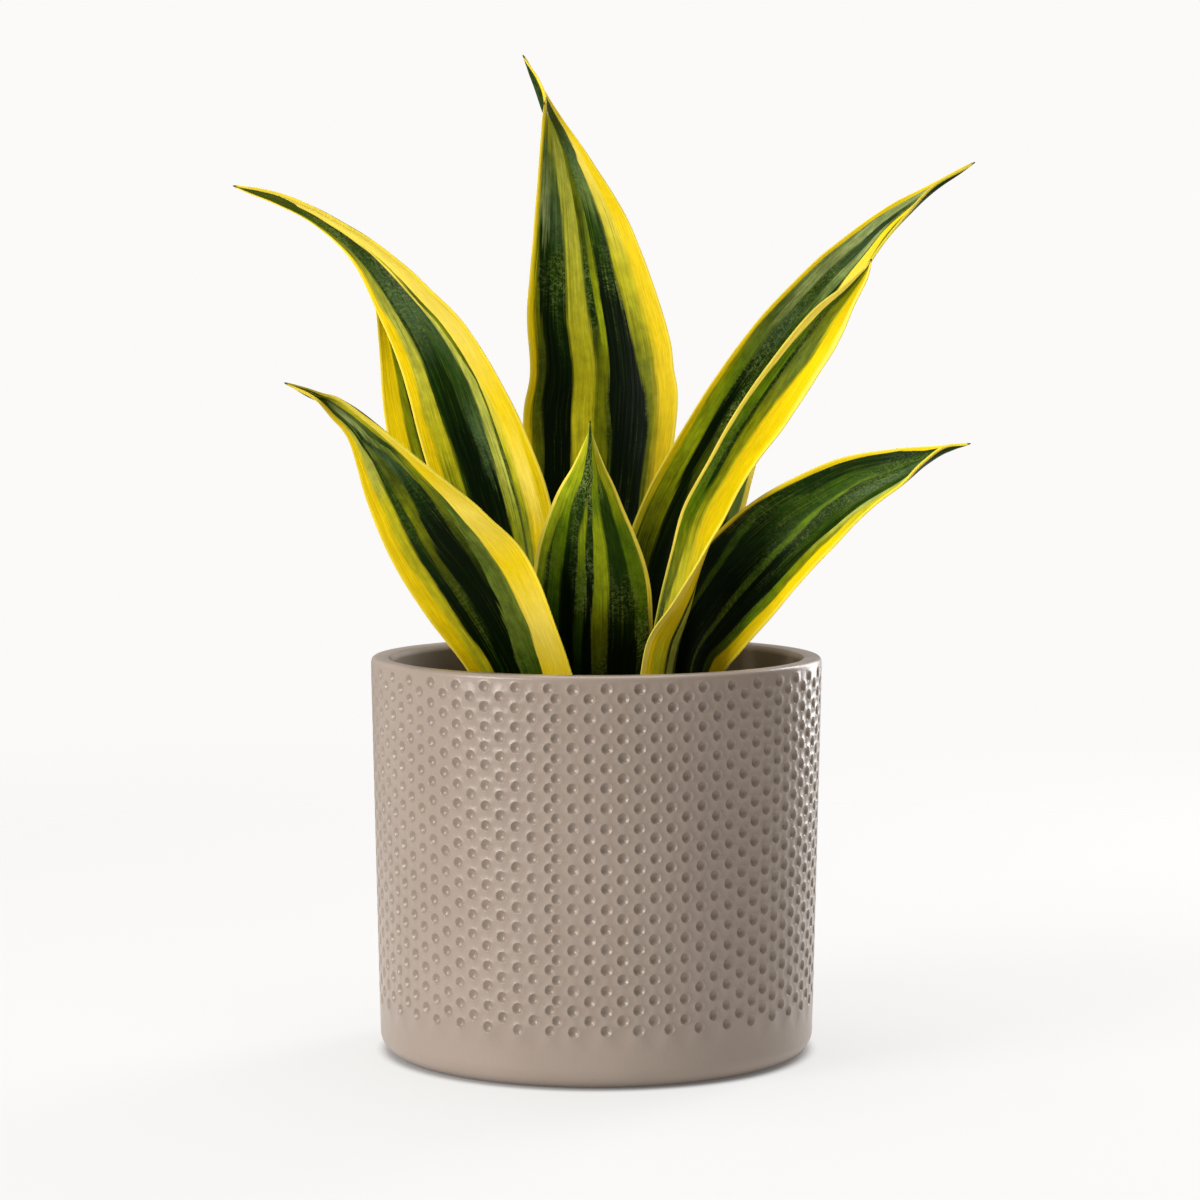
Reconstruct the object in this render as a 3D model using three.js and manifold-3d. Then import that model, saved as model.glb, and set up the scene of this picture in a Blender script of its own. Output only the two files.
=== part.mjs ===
// Potted golden flame snake plant: nine stiff variegated leaves in a dimpled ceramic pot.
// Millimetres, +Z up. The origin is the centre of the pot's flat underside,
// and the photograph's side of the plant faces -Y.
import * as THREE from 'three';
import { mergeVertices } from 'three/addons/utils/BufferGeometryUtils.js';
import Module from 'manifold-3d';

// Pot
const POT_TOP_RADIUS = 75;
const POT_BASE_RADIUS = 72.4;
const POT_HEIGHT = 132;
const POT_CORNER_RADIUS = 9;
const POT_WALL = 7;
const POT_LIP_RADIUS = POT_WALL / 2;
const POT_FLOOR = 8;
const POT_INNER_CORNER = 9;
const POT_INNER_BASE_RADIUS = 65.4;
const OUTER_CORNER_STEPS = 4;
const INNER_CORNER_STEPS = 3;
const LIP_STEPS = 5;
const LIP_START_DEGREES = 20;

// Dimples: upright columns, every second column half a step lower
const DIMPLE_COLUMNS = 72;
const DIMPLES_PER_COLUMN = 14;
const DIMPLE_DEPTH = 1.2;
const DIMPLE_BAND_BOTTOM = 15.5;
const DIMPLE_BAND_TOP = 128;

// Soil and the rhizome inside it
const CLEARANCE = 0.3;
const SOIL_LEVEL = 114;
const SOIL_CROWN = 2.5;
const SOIL_EDGE_DROP = 1;
const SOIL_SEGMENTS = 48;
const FOOT_LEVEL = 97;
const RHIZOME_RADIUS = 34;
const RHIZOME_DEPTH = 22;
const RHIZOME_SEGMENTS = 20;
const ROOT_COUNT = 9;
const ROOT_LENGTH = 30;
const ROOT_RADIUS = 2.2;
const ROOT_END_RADIUS = 0.9;
const ROOT_SIDES = 6;
const ROOT_START_RADIUS = 15;
const ROOT_START_DEPTH = 16.5;
const ROOT_LEAN_DEGREES = [25, 42];

// Upper surface of the soil, as shares of its radius and of its crown
const SOIL_SHAPE = [[0.9, 0], [0.55, 0.7], [0, 1]];
// Outline of the rhizome, as shares of its radius and of its depth below the top
const RHIZOME_SHAPE = [[0, 1], [0.55, 1], [0.9, 0.7], [1, 0.35], [0.97, 0], [0, 0]];

// Leaf blades
const STEPS_PER_ROW = 2;
const ACROSS = [-1, -0.7, -0.35, 0, 0.35, 0.7, 1];
const MARGIN_THICKNESS = 0.9;
const TIP_KEEL = 1.0;
const HOLE_ROWS = 3;

// Each leaf is a list of rows from its foot to its tip. A row holds its left margin
// and its right margin, as x, y, z, and how far the channel between them is sunk
// (below zero where the leaf turns its rounded back to the front).
// crease is the place of the channel's bottom between the margins,
// softness is small for a sharp fold, and keel is the thickness along the middle.
const LEAVES = [
  {
    name: 'leaf_back_centre', keel: 3.0, crease: 0.5, softness: 1.2,
    rows: [
      [[-9, 24, 97], [11, 24, 97], 5],
      [[-14, 28, 114], [16, 28, 114], 7],
      [[-21.5, 33, 162], [20, 33, 162], 8],
      [[-25.5, 40, 207], [28, 40, 210.5], 8],
      [[-23.5, 48, 248], [24.5, 48, 242.5], 7],
      [[-20.5, 56, 286], [11.5, 56, 276.5], 6],
      [[-18.5, 59, 312.5], [-1.5, 61, 298.5], 4.5],
      [[-18, 57, 321], [-14, 65, 316.5], 3],
      [[-20.5, 60, 327.5], [-20.5, 64, 327], 1.6],
      [[-25.9, 63, 335.4], [-25.1, 63, 335.6], 0.2],
    ],
  },
  {
    name: 'leaf_left_upper', keel: 2.8, crease: 0.6, softness: 0.35,
    rows: [
      [[-26, -2, 97], [-12, -6, 97], 4],
      [[-35, -3, 114], [-13, -8, 114], 6],
      [[-42, -2, 154.5], [-13, -6, 154.5], 7],
      [[-56.5, 4, 196.5], [-17.5, -4, 189], 8],
      [[-65, 12, 226.5], [-39, 2, 233.5], 7.5],
      [[-73.5, 18, 246.5], [-57.5, 8, 255.5], 6],
      [[-82.5, 23, 264], [-75, 15, 269.5], 3.5],
      [[-95.5, 27, 276], [-92.5, 21, 280], 1.6],
      [[-108.5, 29, 283], [-107, 26, 286], 0.9],
      [[-123.1, 30, 288.6], [-122.9, 30, 289.4], 0.2],
    ],
  },
  {
    name: 'leaf_left_behind', keel: 2.6, crease: 0.5, softness: 1.2,
    rows: [
      [[-28, 12, 97], [-15, 14, 97], 3],
      [[-37, 13, 114], [-17, 17, 114], 5],
      [[-53, 17, 146], [-26, 22, 146], 6],
      [[-65.5, 24, 179.5], [-33, 28, 183], 6.5],
      [[-72, 32, 208.5], [-48.5, 35, 210], 6],
      [[-74, 39, 229], [-60.5, 41, 231], 4.5],
      [[-75, 44, 244], [-69.5, 45, 247], 2.5],
      [[-77.5, 48, 256], [-75.5, 48, 258], 1],
      [[-79.4, 50, 263.8], [-78.6, 50, 264.2], 0.2],
    ],
  },
  {
    name: 'leaf_left_front', keel: 2.8, crease: 0.62, softness: 0.3,
    rows: [
      [[-25, -20, 97], [-8, -27, 97], 3],
      [[-35, -28, 114], [-8, -38, 114], 6],
      [[-41, -31, 129], [-8, -43, 129], 8],
      [[-54.5, -37, 148], [-21, -52, 165.5], 9],
      [[-65, -44, 166], [-35.5, -60, 182], 8],
      [[-72.5, -52, 185.5], [-50.5, -66, 196], 6.5],
      [[-77.5, -61, 205], [-70.5, -70, 212.5], 4],
      [[-83, -67, 213], [-80, -71, 218], 2.5],
      [[-88, -73, 219], [-87, -71, 220.5], 1.6],
      [[-96.7, -76, 223.2], [-96.3, -76, 223.8], 0.2],
    ],
  },
  {
    name: 'leaf_front_small', keel: 2.4, crease: 0.5, softness: 1.0,
    rows: [
      [[-13, -15, 97], [9, -15, 97], -4],
      [[-18, -18, 114], [15, -18, 114], -6],
      [[-21.5, -21, 139.5], [18, -21, 139.5], -7],
      [[-19.5, -26, 166], [16, -26, 163], -7],
      [[-13, -33, 186], [7, -33, 186], -5],
      [[-7, -38, 197], [2, -38, 197], -2.8],
      [[-2.5, -42, 206.5], [-1.5, -42, 206.5], -0.9],
      [[-2.4, -45, 211], [-1.6, -45, 211], -0.2],
    ],
  },
  {
    name: 'leaf_right_tall', keel: 2.8, crease: 0.5, softness: 1.0,
    rows: [
      [[3, 4, 97], [19, 2, 97], 4],
      [[2, 5, 114], [26, 5, 114], 6],
      [[7, 8, 150.5], [32.5, 6, 144.5], 7],
      [[14.5, 15, 179.5], [39, 9, 170.5], 7],
      [[31.5, 25, 210], [53.5, 15, 198.5], 7],
      [[52.5, 36, 240], [69, 24, 226.5], 7],
      [[73, 46, 261.5], [82.5, 34, 247], 6],
      [[85, 50, 271.5], [89.5, 39, 258], 5],
      [[94.5, 53, 278.5], [96, 42, 270.5], 3.5],
      [[104, 56, 284.5], [106, 48, 280.5], 2.8],
      [[116, 59, 290.5], [116.5, 54, 290], 1.6],
      [[131.3, 62, 298.8], [131.7, 62, 298.2], 0.2],
    ],
  },
  {
    name: 'leaf_right_front', keel: 2.6, crease: 0.5, softness: 0.8,
    rows: [
      [[13, -18, 97], [12, -28, 97], 6],
      [[16, -24, 114], [13, -36, 114], 9],
      [[17.5, -25, 127.5], [14.5, -38, 128.5], 10],
      [[18.5, -25, 139.5], [17, -39, 140.5], 10.5],
      [[20.5, -25, 150.5], [24.5, -39, 152], 8.5],
      [[24.5, -24, 167], [33.5, -36, 166.5], 5],
      [[28.5, -23, 182], [40.5, -31, 177.5], 4.5],
      [[36, -20, 196], [49, -27, 193], 5],
      [[46.5, -16, 214.5], [61, -23, 210.5], 5],
      [[58.5, -11, 231], [71.5, -18, 226], 4.5],
      [[71, -6, 246], [80, -12, 238], 3.5],
      [[82.5, -3, 255], [84.5, -7, 248], 2],
      [[88.5, -1, 260.5], [89.5, -3, 257.5], 1],
      [[90.7, 0, 263.7], [91.3, 0, 263.3], 0.2],
    ],
  },
  {
    name: 'leaf_right_low', keel: 2.8, crease: 0.5, softness: 1.0,
    rows: [
      [[15, -7, 97], [30, -10, 97], 3],
      [[18, -9, 114], [38, -13, 114], 4],
      [[19.5, -10, 138.5], [41.5, -16, 127], 5.5],
      [[29, -11, 160], [47, -21, 136], 7],
      [[40, -14, 173], [59, -27, 151], 7.5],
      [[56.5, -20, 186], [71.5, -34, 166], 7],
      [[78, -29, 197], [87, -43, 182.5], 6],
      [[95.5, -37, 201.5], [96.5, -49, 191.5], 4],
      [[105, -42, 202.5], [103.5, -51, 197.5], 2.4],
      [[111, -46, 203], [110.5, -52, 203], 1.6],
      [[118.5, -53, 204.4], [118.5, -53, 203.6], 0.2],
    ],
  },
  {
    name: 'leaf_right_behind', keel: 2.4, crease: 0.5, softness: 1.2,
    rows: [
      [[17, 17, 97], [29, 15, 97], 3],
      [[20, 20, 114], [38, 17, 114], 5],
      [[21.5, 28, 149], [45, 26, 145.5], 6],
      [[26, 36, 167], [49, 33, 171], 6],
      [[34, 42, 180.5], [51.5, 40, 182.5], 5],
      [[43.5, 48, 192.5], [55, 46, 195.5], 3],
      [[51.5, 52, 200], [56, 51, 201.5], 1.5],
      [[58.2, 56, 208.3], [58.8, 56, 207.7], 0.2],
    ],
  },
];

const wasm = await Module();
wasm.setup();

// Solids for cutting and joining
function toSolid(geometry) {
  const bare = geometry.clone();
  bare.deleteAttribute('normal');
  bare.deleteAttribute('uv');
  const merged = mergeVertices(bare);
  return new wasm.Manifold(new wasm.Mesh({
    numProp: 3,
    vertProperties: new Float32Array(merged.attributes.position.array),
    triVerts: new Uint32Array(merged.index.array),
  }));
}

function toGeometry(solid) {
  const mesh = solid.getMesh();
  return indexedGeometry(Array.from(mesh.vertProperties), Array.from(mesh.triVerts));
}

function indexedGeometry(positions, triangles) {
  const geometry = new THREE.BufferGeometry();
  geometry.setAttribute('position', new THREE.Float32BufferAttribute(positions, 3));
  geometry.setIndex(triangles);
  geometry.computeVertexNormals();
  return geometry;
}

function lathe(profile, segments) {
  const geometry = new THREE.LatheGeometry(profile, segments);
  return geometry.rotateX(Math.PI / 2);
}

// Points on a quarter of a circle in the (radius, height) plane, from one angle to another
function arc(centreRadius, centreHeight, radius, fromDegrees, toDegrees, steps) {
  const points = [];
  for (let i = 0; i <= steps; i += 1) {
    const angle = THREE.MathUtils.degToRad(fromDegrees + ((toDegrees - fromDegrees) * i) / steps);
    points.push([centreRadius + radius * Math.cos(angle), centreHeight + radius * Math.sin(angle)]);
  }
  return points;
}

// Pot: a body of revolution whose wall carries a band of hexagonal dimple cells
function outerRadiusAt(height) {
  const bottom = POT_CORNER_RADIUS;
  const top = POT_HEIGHT - POT_LIP_RADIUS;
  return THREE.MathUtils.mapLinear(height, bottom, top, POT_BASE_RADIUS, POT_TOP_RADIUS);
}

function potGeometry() {
  const positions = [];
  const triangles = [];
  const pitch = (DIMPLE_BAND_TOP - DIMPLE_BAND_BOTTOM) / DIMPLES_PER_COLUMN;
  const spacing = (2 * Math.PI * POT_TOP_RADIUS) / DIMPLE_COLUMNS;
  // Cells meet at the points that are equally far from three dimples
  const cornerShift = 0.5 - (pitch * pitch) / (8 * spacing * spacing);

  function addPoint(column, radius, height) {
    const angle = (column * 2 * Math.PI) / DIMPLE_COLUMNS;
    positions.push(radius * Math.cos(angle), radius * Math.sin(angle), height);
    return positions.length / 3 - 1;
  }

  function addFan(centre, corners) {
    corners.forEach((corner, i) => {
      triangles.push(centre, corner, corners[(i + 1) % corners.length]);
    });
  }

  // A ring has two points for every second column, beside that column's cells
  function addRing(radius, height) {
    const ring = [];
    for (let column = 0; column < DIMPLE_COLUMNS; column += 2) {
      ring.push(addPoint(column - cornerShift, radius, height));
      ring.push(addPoint(column + cornerShift, radius, height));
    }
    return ring;
  }

  // Walking from the outside under the pot, up the wall, over the lip and down inside
  function joinRings(before, after) {
    before.forEach((start, i) => {
      const next = (i + 1) % before.length;
      triangles.push(start, before[next], after[next]);
      triangles.push(start, after[next], after[i]);
    });
  }

  function joinAll(rings) {
    for (let i = 0; i + 1 < rings.length; i += 1) {
      joinRings(rings[i], rings[i + 1]);
    }
  }

  // Cell corners: left and right of each column, at the levels between its dimples
  const columns = [];
  for (let column = 0; column < DIMPLE_COLUMNS; column += 1) {
    const lowered = column % 2 === 1;
    const levels = [];
    const count = lowered ? DIMPLES_PER_COLUMN : DIMPLES_PER_COLUMN + 1;
    for (let k = 0; k < count; k += 1) {
      const height = DIMPLE_BAND_BOTTOM + pitch * (lowered ? k + 0.5 : k);
      const radius = outerRadiusAt(height);
      levels.push({
        left: addPoint(column - cornerShift, radius, height),
        right: addPoint(column + cornerShift, radius, height),
        height,
      });
    }
    columns.push(levels);
  }

  columns.forEach((levels, column) => {
    const lowered = column % 2 === 1;
    const before = columns[(column + DIMPLE_COLUMNS - 1) % DIMPLE_COLUMNS];
    const after = columns[(column + 1) % DIMPLE_COLUMNS];
    for (let k = 0; k + 1 < levels.length; k += 1) {
      const side = lowered ? k + 1 : k;
      const height = (levels[k].height + levels[k + 1].height) / 2;
      const bottom = addPoint(column, outerRadiusAt(height) - DIMPLE_DEPTH, height);
      addFan(bottom, [
        levels[k].left, levels[k].right, after[side].left,
        levels[k + 1].right, levels[k + 1].left, before[side].right,
      ]);
    }
    if (lowered) {
      const first = levels[0];
      const last = levels[levels.length - 1];
      const top = before.length - 1;
      triangles.push(before[0].right, after[0].left, first.right);
      triangles.push(before[0].right, first.right, first.left);
      triangles.push(last.left, last.right, after[top].left);
      triangles.push(last.left, after[top].left, before[top].right);
    }
  });

  const bandEnd = (pick) => columns.filter((_, column) => column % 2 === 0)
    .flatMap((levels) => [pick(levels).left, pick(levels).right]);
  const bandBottom = bandEnd((levels) => levels[0]);
  const bandTop = bandEnd((levels) => levels[levels.length - 1]);

  const cornerCentre = POT_BASE_RADIUS - POT_CORNER_RADIUS;
  const corner = arc(cornerCentre, POT_CORNER_RADIUS, POT_CORNER_RADIUS, -90, 0, OUTER_CORNER_STEPS);
  const underside = corner.map(([radius, height]) => addRing(radius, height));
  joinAll([...underside, bandBottom]);
  addFan(addPoint(0, 0, 0), [...underside[0]].reverse());

  const lipCentre = POT_TOP_RADIUS - POT_LIP_RADIUS;
  const lipHeight = POT_HEIGHT - POT_LIP_RADIUS;
  const lip = arc(lipCentre, lipHeight, POT_LIP_RADIUS, LIP_START_DEGREES, 180, LIP_STEPS);
  const innerCentre = POT_INNER_BASE_RADIUS - POT_INNER_CORNER;
  const innerCorner = arc(
    innerCentre, POT_FLOOR + POT_INNER_CORNER, POT_INNER_CORNER, 0, -90, INNER_CORNER_STEPS);
  const inside = [...lip, ...innerCorner].map(([radius, height]) => addRing(radius, height));
  joinAll([bandTop, ...inside]);
  addFan(addPoint(0, 0, POT_FLOOR), inside[inside.length - 1]);

  return indexedGeometry(positions, triangles);
}

// Leaf blade: a channelled surface between two smooth margins, thick along its keel
function smoothRows(rows, steps) {
  const flat = rows.map(([left, right, sunk]) => [...left, ...right, sunk]);
  const mirrored = (end, next) => end.map((value, i) => 2 * value - next[i]);
  const padded = [
    mirrored(flat[0], flat[1]),
    ...flat,
    mirrored(flat[flat.length - 1], flat[flat.length - 2]),
  ];
  const result = [];
  for (let i = 0; i + 1 < flat.length; i += 1) {
    for (let k = 0; k < steps; k += 1) {
      result.push(padded[i].map((_, n) => catmullRom(
        padded[i][n], padded[i + 1][n], padded[i + 2][n], padded[i + 3][n], k / steps)));
    }
  }
  result.push(flat[flat.length - 1]);
  return result.map((row) => ({
    left: new THREE.Vector3(row[0], row[1], row[2]),
    right: new THREE.Vector3(row[3], row[4], row[5]),
    sunk: row[6],
  }));
}

function catmullRom(a, b, c, d, t) {
  const linear = (c - a) * t;
  const square = (2 * a - 5 * b + 4 * c - d) * t * t;
  const cube = (3 * b - a - 3 * c + d) * t * t * t;
  return 0.5 * (2 * b + linear + square + cube);
}

// Middle surface of the blade, as a grid of points, with its normals
function bladeGrid(leaf, steps) {
  const rows = smoothRows(leaf.rows, steps);
  const centres = rows.map(({ left, right }) => left.clone().add(right).multiplyScalar(0.5));
  const soft = leaf.softness;
  const rise = (u) => (Math.hypot(u, soft) - soft) / (Math.hypot(1, soft) - soft);
  const points = rows.map(({ left, right, sunk }, i) => {
    const along = centres[Math.min(i + 1, rows.length - 1)].clone()
      .sub(centres[Math.max(i - 1, 0)]);
    const across = right.clone().sub(left);
    const away = along.clone().cross(across).normalize();
    const bottom = left.clone().lerp(right, leaf.crease).addScaledVector(away, sunk);
    const lift = centres[i].clone().sub(bottom);
    return ACROSS.map((u) => bottom.clone()
      .addScaledVector(across, u / 2)
      .addScaledVector(lift, rise(u)));
  });
  const last = points.length - 1;
  const side = ACROSS.length - 1;
  const normals = points.map((row, i) => row.map((_, j) => {
    const along = points[Math.min(i + 1, last)][j].clone().sub(points[Math.max(i - 1, 0)][j]);
    const across = row[Math.min(j + 1, side)].clone().sub(row[Math.max(j - 1, 0)]);
    return along.cross(across).normalize();
  }));
  return { points, normals };
}

// The solid blade, with a flat foot.
// A leaf's hole in the soil is its lowest rows, wider by extra on every side.
function bladeGeometry(leaf, extra = 0, rowsUsed = leaf.rows.length) {
  const { points, normals } = bladeGrid(leaf, STEPS_PER_ROW);
  const last = (rowsUsed - 1) * STEPS_PER_ROW;
  const width = ACROSS.length;
  const positions = [];
  const triangles = [];
  points.slice(0, last + 1).forEach((row, i) => {
    const keel = THREE.MathUtils.lerp(leaf.keel, TIP_KEEL, i / (points.length - 1));
    const beyondLeft = row[0].clone().sub(row[1]).setLength(extra);
    const beyondRight = row[width - 1].clone().sub(row[width - 2]).setLength(extra);
    for (const face of [-1, 1]) {
      row.forEach((point, j) => {
        const u = ACROSS[j];
        const thickness = MARGIN_THICKNESS + (keel - MARGIN_THICKNESS) * (1 - u * u);
        const corner = point.clone().addScaledVector(normals[i][j], face * (thickness / 2 + extra));
        if (j === 0) {
          corner.add(beyondLeft);
        } else if (j === width - 1) {
          corner.add(beyondRight);
        }
        if (i === 0) {
          corner.z = FOOT_LEVEL - extra;
        }
        positions.push(corner.x, corner.y, corner.z);
      });
    }
  });
  const at = (i, face, j) => (i * 2 + face) * width + j;
  const quad = (a, b, c, d) => triangles.push(a, b, c, a, c, d);
  for (let i = 0; i < last; i += 1) {
    for (let j = 0; j + 1 < width; j += 1) {
      quad(at(i, 0, j), at(i, 0, j + 1), at(i + 1, 0, j + 1), at(i + 1, 0, j));
      triangles.push(at(i, 1, j), at(i + 1, 1, j + 1), at(i, 1, j + 1));
      triangles.push(at(i, 1, j), at(i + 1, 1, j), at(i + 1, 1, j + 1));
    }
    quad(at(i, 0, 0), at(i + 1, 0, 0), at(i + 1, 1, 0), at(i, 1, 0));
    quad(at(i, 0, width - 1), at(i, 1, width - 1), at(i + 1, 1, width - 1), at(i + 1, 0, width - 1));
  }
  for (let j = 0; j + 1 < width; j += 1) {
    quad(at(0, 0, j), at(0, 1, j), at(0, 1, j + 1), at(0, 0, j + 1));
    quad(at(last, 0, j), at(last, 0, j + 1), at(last, 1, j + 1), at(last, 1, j));
  }
  return indexedGeometry(positions, triangles);
}

// Rhizome: the squat stem that the leaves stand on, with stubby roots. extra widens it.
function rhizomeSolid(extra = 0) {
  const top = FOOT_LEVEL - CLEARANCE + extra;
  const radius = RHIZOME_RADIUS + extra;
  const depth = RHIZOME_DEPTH + 2 * extra;
  const profile = RHIZOME_SHAPE.map(([out, down]) => (
    new THREE.Vector2(out * radius, top - down * depth)));
  let solid = toSolid(lathe(profile, RHIZOME_SEGMENTS));
  for (let i = 0; i < ROOT_COUNT; i += 1) {
    const length = ROOT_LENGTH + extra;
    const root = new THREE.CylinderGeometry(
      ROOT_RADIUS + extra, ROOT_END_RADIUS + extra, length, ROOT_SIDES);
    const turn = (i * 2 * Math.PI) / ROOT_COUNT;
    const lean = THREE.MathUtils.degToRad(ROOT_LEAN_DEGREES[i % ROOT_LEAN_DEGREES.length]);
    root.translate(0, -length / 2, 0);
    root.rotateX(Math.PI / 2);
    root.rotateY(-lean);
    root.translate(ROOT_START_RADIUS, 0, FOOT_LEVEL - ROOT_START_DEPTH);
    root.rotateZ(turn);
    solid = solid.add(toSolid(root));
  }
  return solid;
}

// Soil: fills the pot up to its level, with a hole for every leaf and for the rhizome
function soilSolid() {
  const radiusAtTop = THREE.MathUtils.mapLinear(
    SOIL_LEVEL, POT_FLOOR + POT_INNER_CORNER, POT_HEIGHT - POT_LIP_RADIUS,
    POT_INNER_BASE_RADIUS, POT_TOP_RADIUS - POT_WALL);
  const floor = POT_FLOOR + CLEARANCE;
  const corner = arc(
    POT_INNER_BASE_RADIUS - POT_INNER_CORNER, POT_FLOOR + POT_INNER_CORNER,
    POT_INNER_CORNER - CLEARANCE, -90, 0, INNER_CORNER_STEPS);
  const surface = SOIL_SHAPE.map(([out, up]) => [out * radiusAtTop, SOIL_LEVEL + up * SOIL_CROWN]);
  const outline = [
    [0, floor], ...corner, [radiusAtTop - CLEARANCE, SOIL_LEVEL - SOIL_EDGE_DROP], ...surface,
  ].map(([x, y]) => new THREE.Vector2(x, y));
  let solid = toSolid(lathe(outline, SOIL_SEGMENTS));
  solid = solid.subtract(rhizomeSolid(CLEARANCE));
  for (const leaf of LEAVES) {
    solid = solid.subtract(toSolid(bladeGeometry(leaf, CLEARANCE, HOLE_ROWS)));
  }
  return solid;
}

function addMesh(group, name, geometry, colour, roughness) {
  const material = new THREE.MeshStandardMaterial({ color: colour, roughness, metalness: 0 });
  material.name = name;
  const mesh = new THREE.Mesh(geometry, material);
  mesh.name = name;
  group.add(mesh);
}

const plant = new THREE.Group();
addMesh(plant, 'pot', potGeometry(), '#b3a394', 0.45);
addMesh(plant, 'soil', toGeometry(soilSolid()), '#3a2b20', 0.95);
addMesh(plant, 'rhizome', toGeometry(rhizomeSolid()), '#c9a36a', 0.8);
for (const leaf of LEAVES) {
  addMesh(plant, leaf.name, bladeGeometry(leaf), '#4f7a1e', 0.4);
}

export default plant;
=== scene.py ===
import math

import bpy
import numpy as np
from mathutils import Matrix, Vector
from mathutils.geometry import delaunay_2d_cdt


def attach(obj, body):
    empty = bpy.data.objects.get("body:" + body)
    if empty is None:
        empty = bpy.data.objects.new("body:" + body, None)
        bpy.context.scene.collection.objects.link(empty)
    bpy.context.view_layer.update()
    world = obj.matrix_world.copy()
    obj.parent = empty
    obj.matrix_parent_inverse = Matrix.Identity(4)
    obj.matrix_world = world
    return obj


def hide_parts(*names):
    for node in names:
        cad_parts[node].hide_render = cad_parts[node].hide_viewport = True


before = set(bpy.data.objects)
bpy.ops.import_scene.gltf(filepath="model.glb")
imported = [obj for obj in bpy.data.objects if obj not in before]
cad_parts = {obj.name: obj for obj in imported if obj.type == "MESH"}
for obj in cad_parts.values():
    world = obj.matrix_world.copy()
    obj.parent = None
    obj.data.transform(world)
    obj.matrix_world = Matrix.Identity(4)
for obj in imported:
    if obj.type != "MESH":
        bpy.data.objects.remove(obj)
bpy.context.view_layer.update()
scene = bpy.context.scene

MM = 0.001

# Pot, in millimetres
POT_BASE_RADIUS = 72.4
POT_TOP_RADIUS = 75.0
POT_HEIGHT = 132.0
TAPER_START = 9.0
TAPER_END = 128.5
CORNER_RADIUS = 7.0
LIP_OUTER_RADIUS = 1.5
LIP_INNER_RADIUS = 2.5
WALL = 7.0
FLOOR_THICKNESS = 8.0
INNER_CORNER = 9.0

# Pressed dimples of the pot
COLUMNS = 88
SEAM_DEGREES = -9.68
STEP_RIGHT = 4.07
STEP_LEFT = 4.165
RING_POINTS = 12
DIMPLE_RADIUS = 1.92
SEAM_DIMPLE_RADIUS = 1.8
DIMPLE_DEPTH = 1.05
FIRST_ROW = 127.9
PITCH_TOP = 6.25
PITCH_MEAN = 6.4
HIGH_ROWS = 18
BAND_TOP = 130.5
BAND_BOTTOM = 12.0
# Marks the inner faces of the pot for its glaze: a darker colour, which is painted shade, and a rougher finish
INNER_MARK = 2.0
# How far out each ring of a dimple lies, and how deep; its raised rim leans outward
RIM_SLOPE = 0.2
DIMPLE_RINGS = [(1.05, -0.06), (0.95, 0.14), (0.72, 0.56), (0.38, 0.9)]

# Soil
SOIL_LEVEL = 113.4
SOIL_CROWN = 2.6

# Light
AMBIENT_LEFT = 0.5
AMBIENT_RIGHT = 0.3
KEY_POWER = 22.2
EDGE_POWER = 13
TOP_POWER = 14
BACKDROP = (0.965, 0.955, 0.942, 1)

# Floor, in metres: its radius, the distances over which it turns from a painted shadow round the pot's foot to pale,
# and over which it then fades away
FLOOR_RADIUS = 1.6
SHADOW_REACH = (0.0685, 0.0747)
FADE_REACH = (0.35, 1.0)

# Camera: place in metres, degrees that it looks down, and focal length in millimetres
CAMERA_PLACE = (0.0012, -1.165, 0.2356)
CAMERA_DOWN = 4.18
LENS = 105.15

# Leaves: margin and tip thickness, and the grid of each blade
MARGIN_THICKNESS = 0.9
TIP_KEEL = 1.0
TIP_STRETCH = 7.0
TIP_SHARE = 0.25
STEPS_PER_ROW = 12
ACROSS_POINTS = 41

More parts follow.
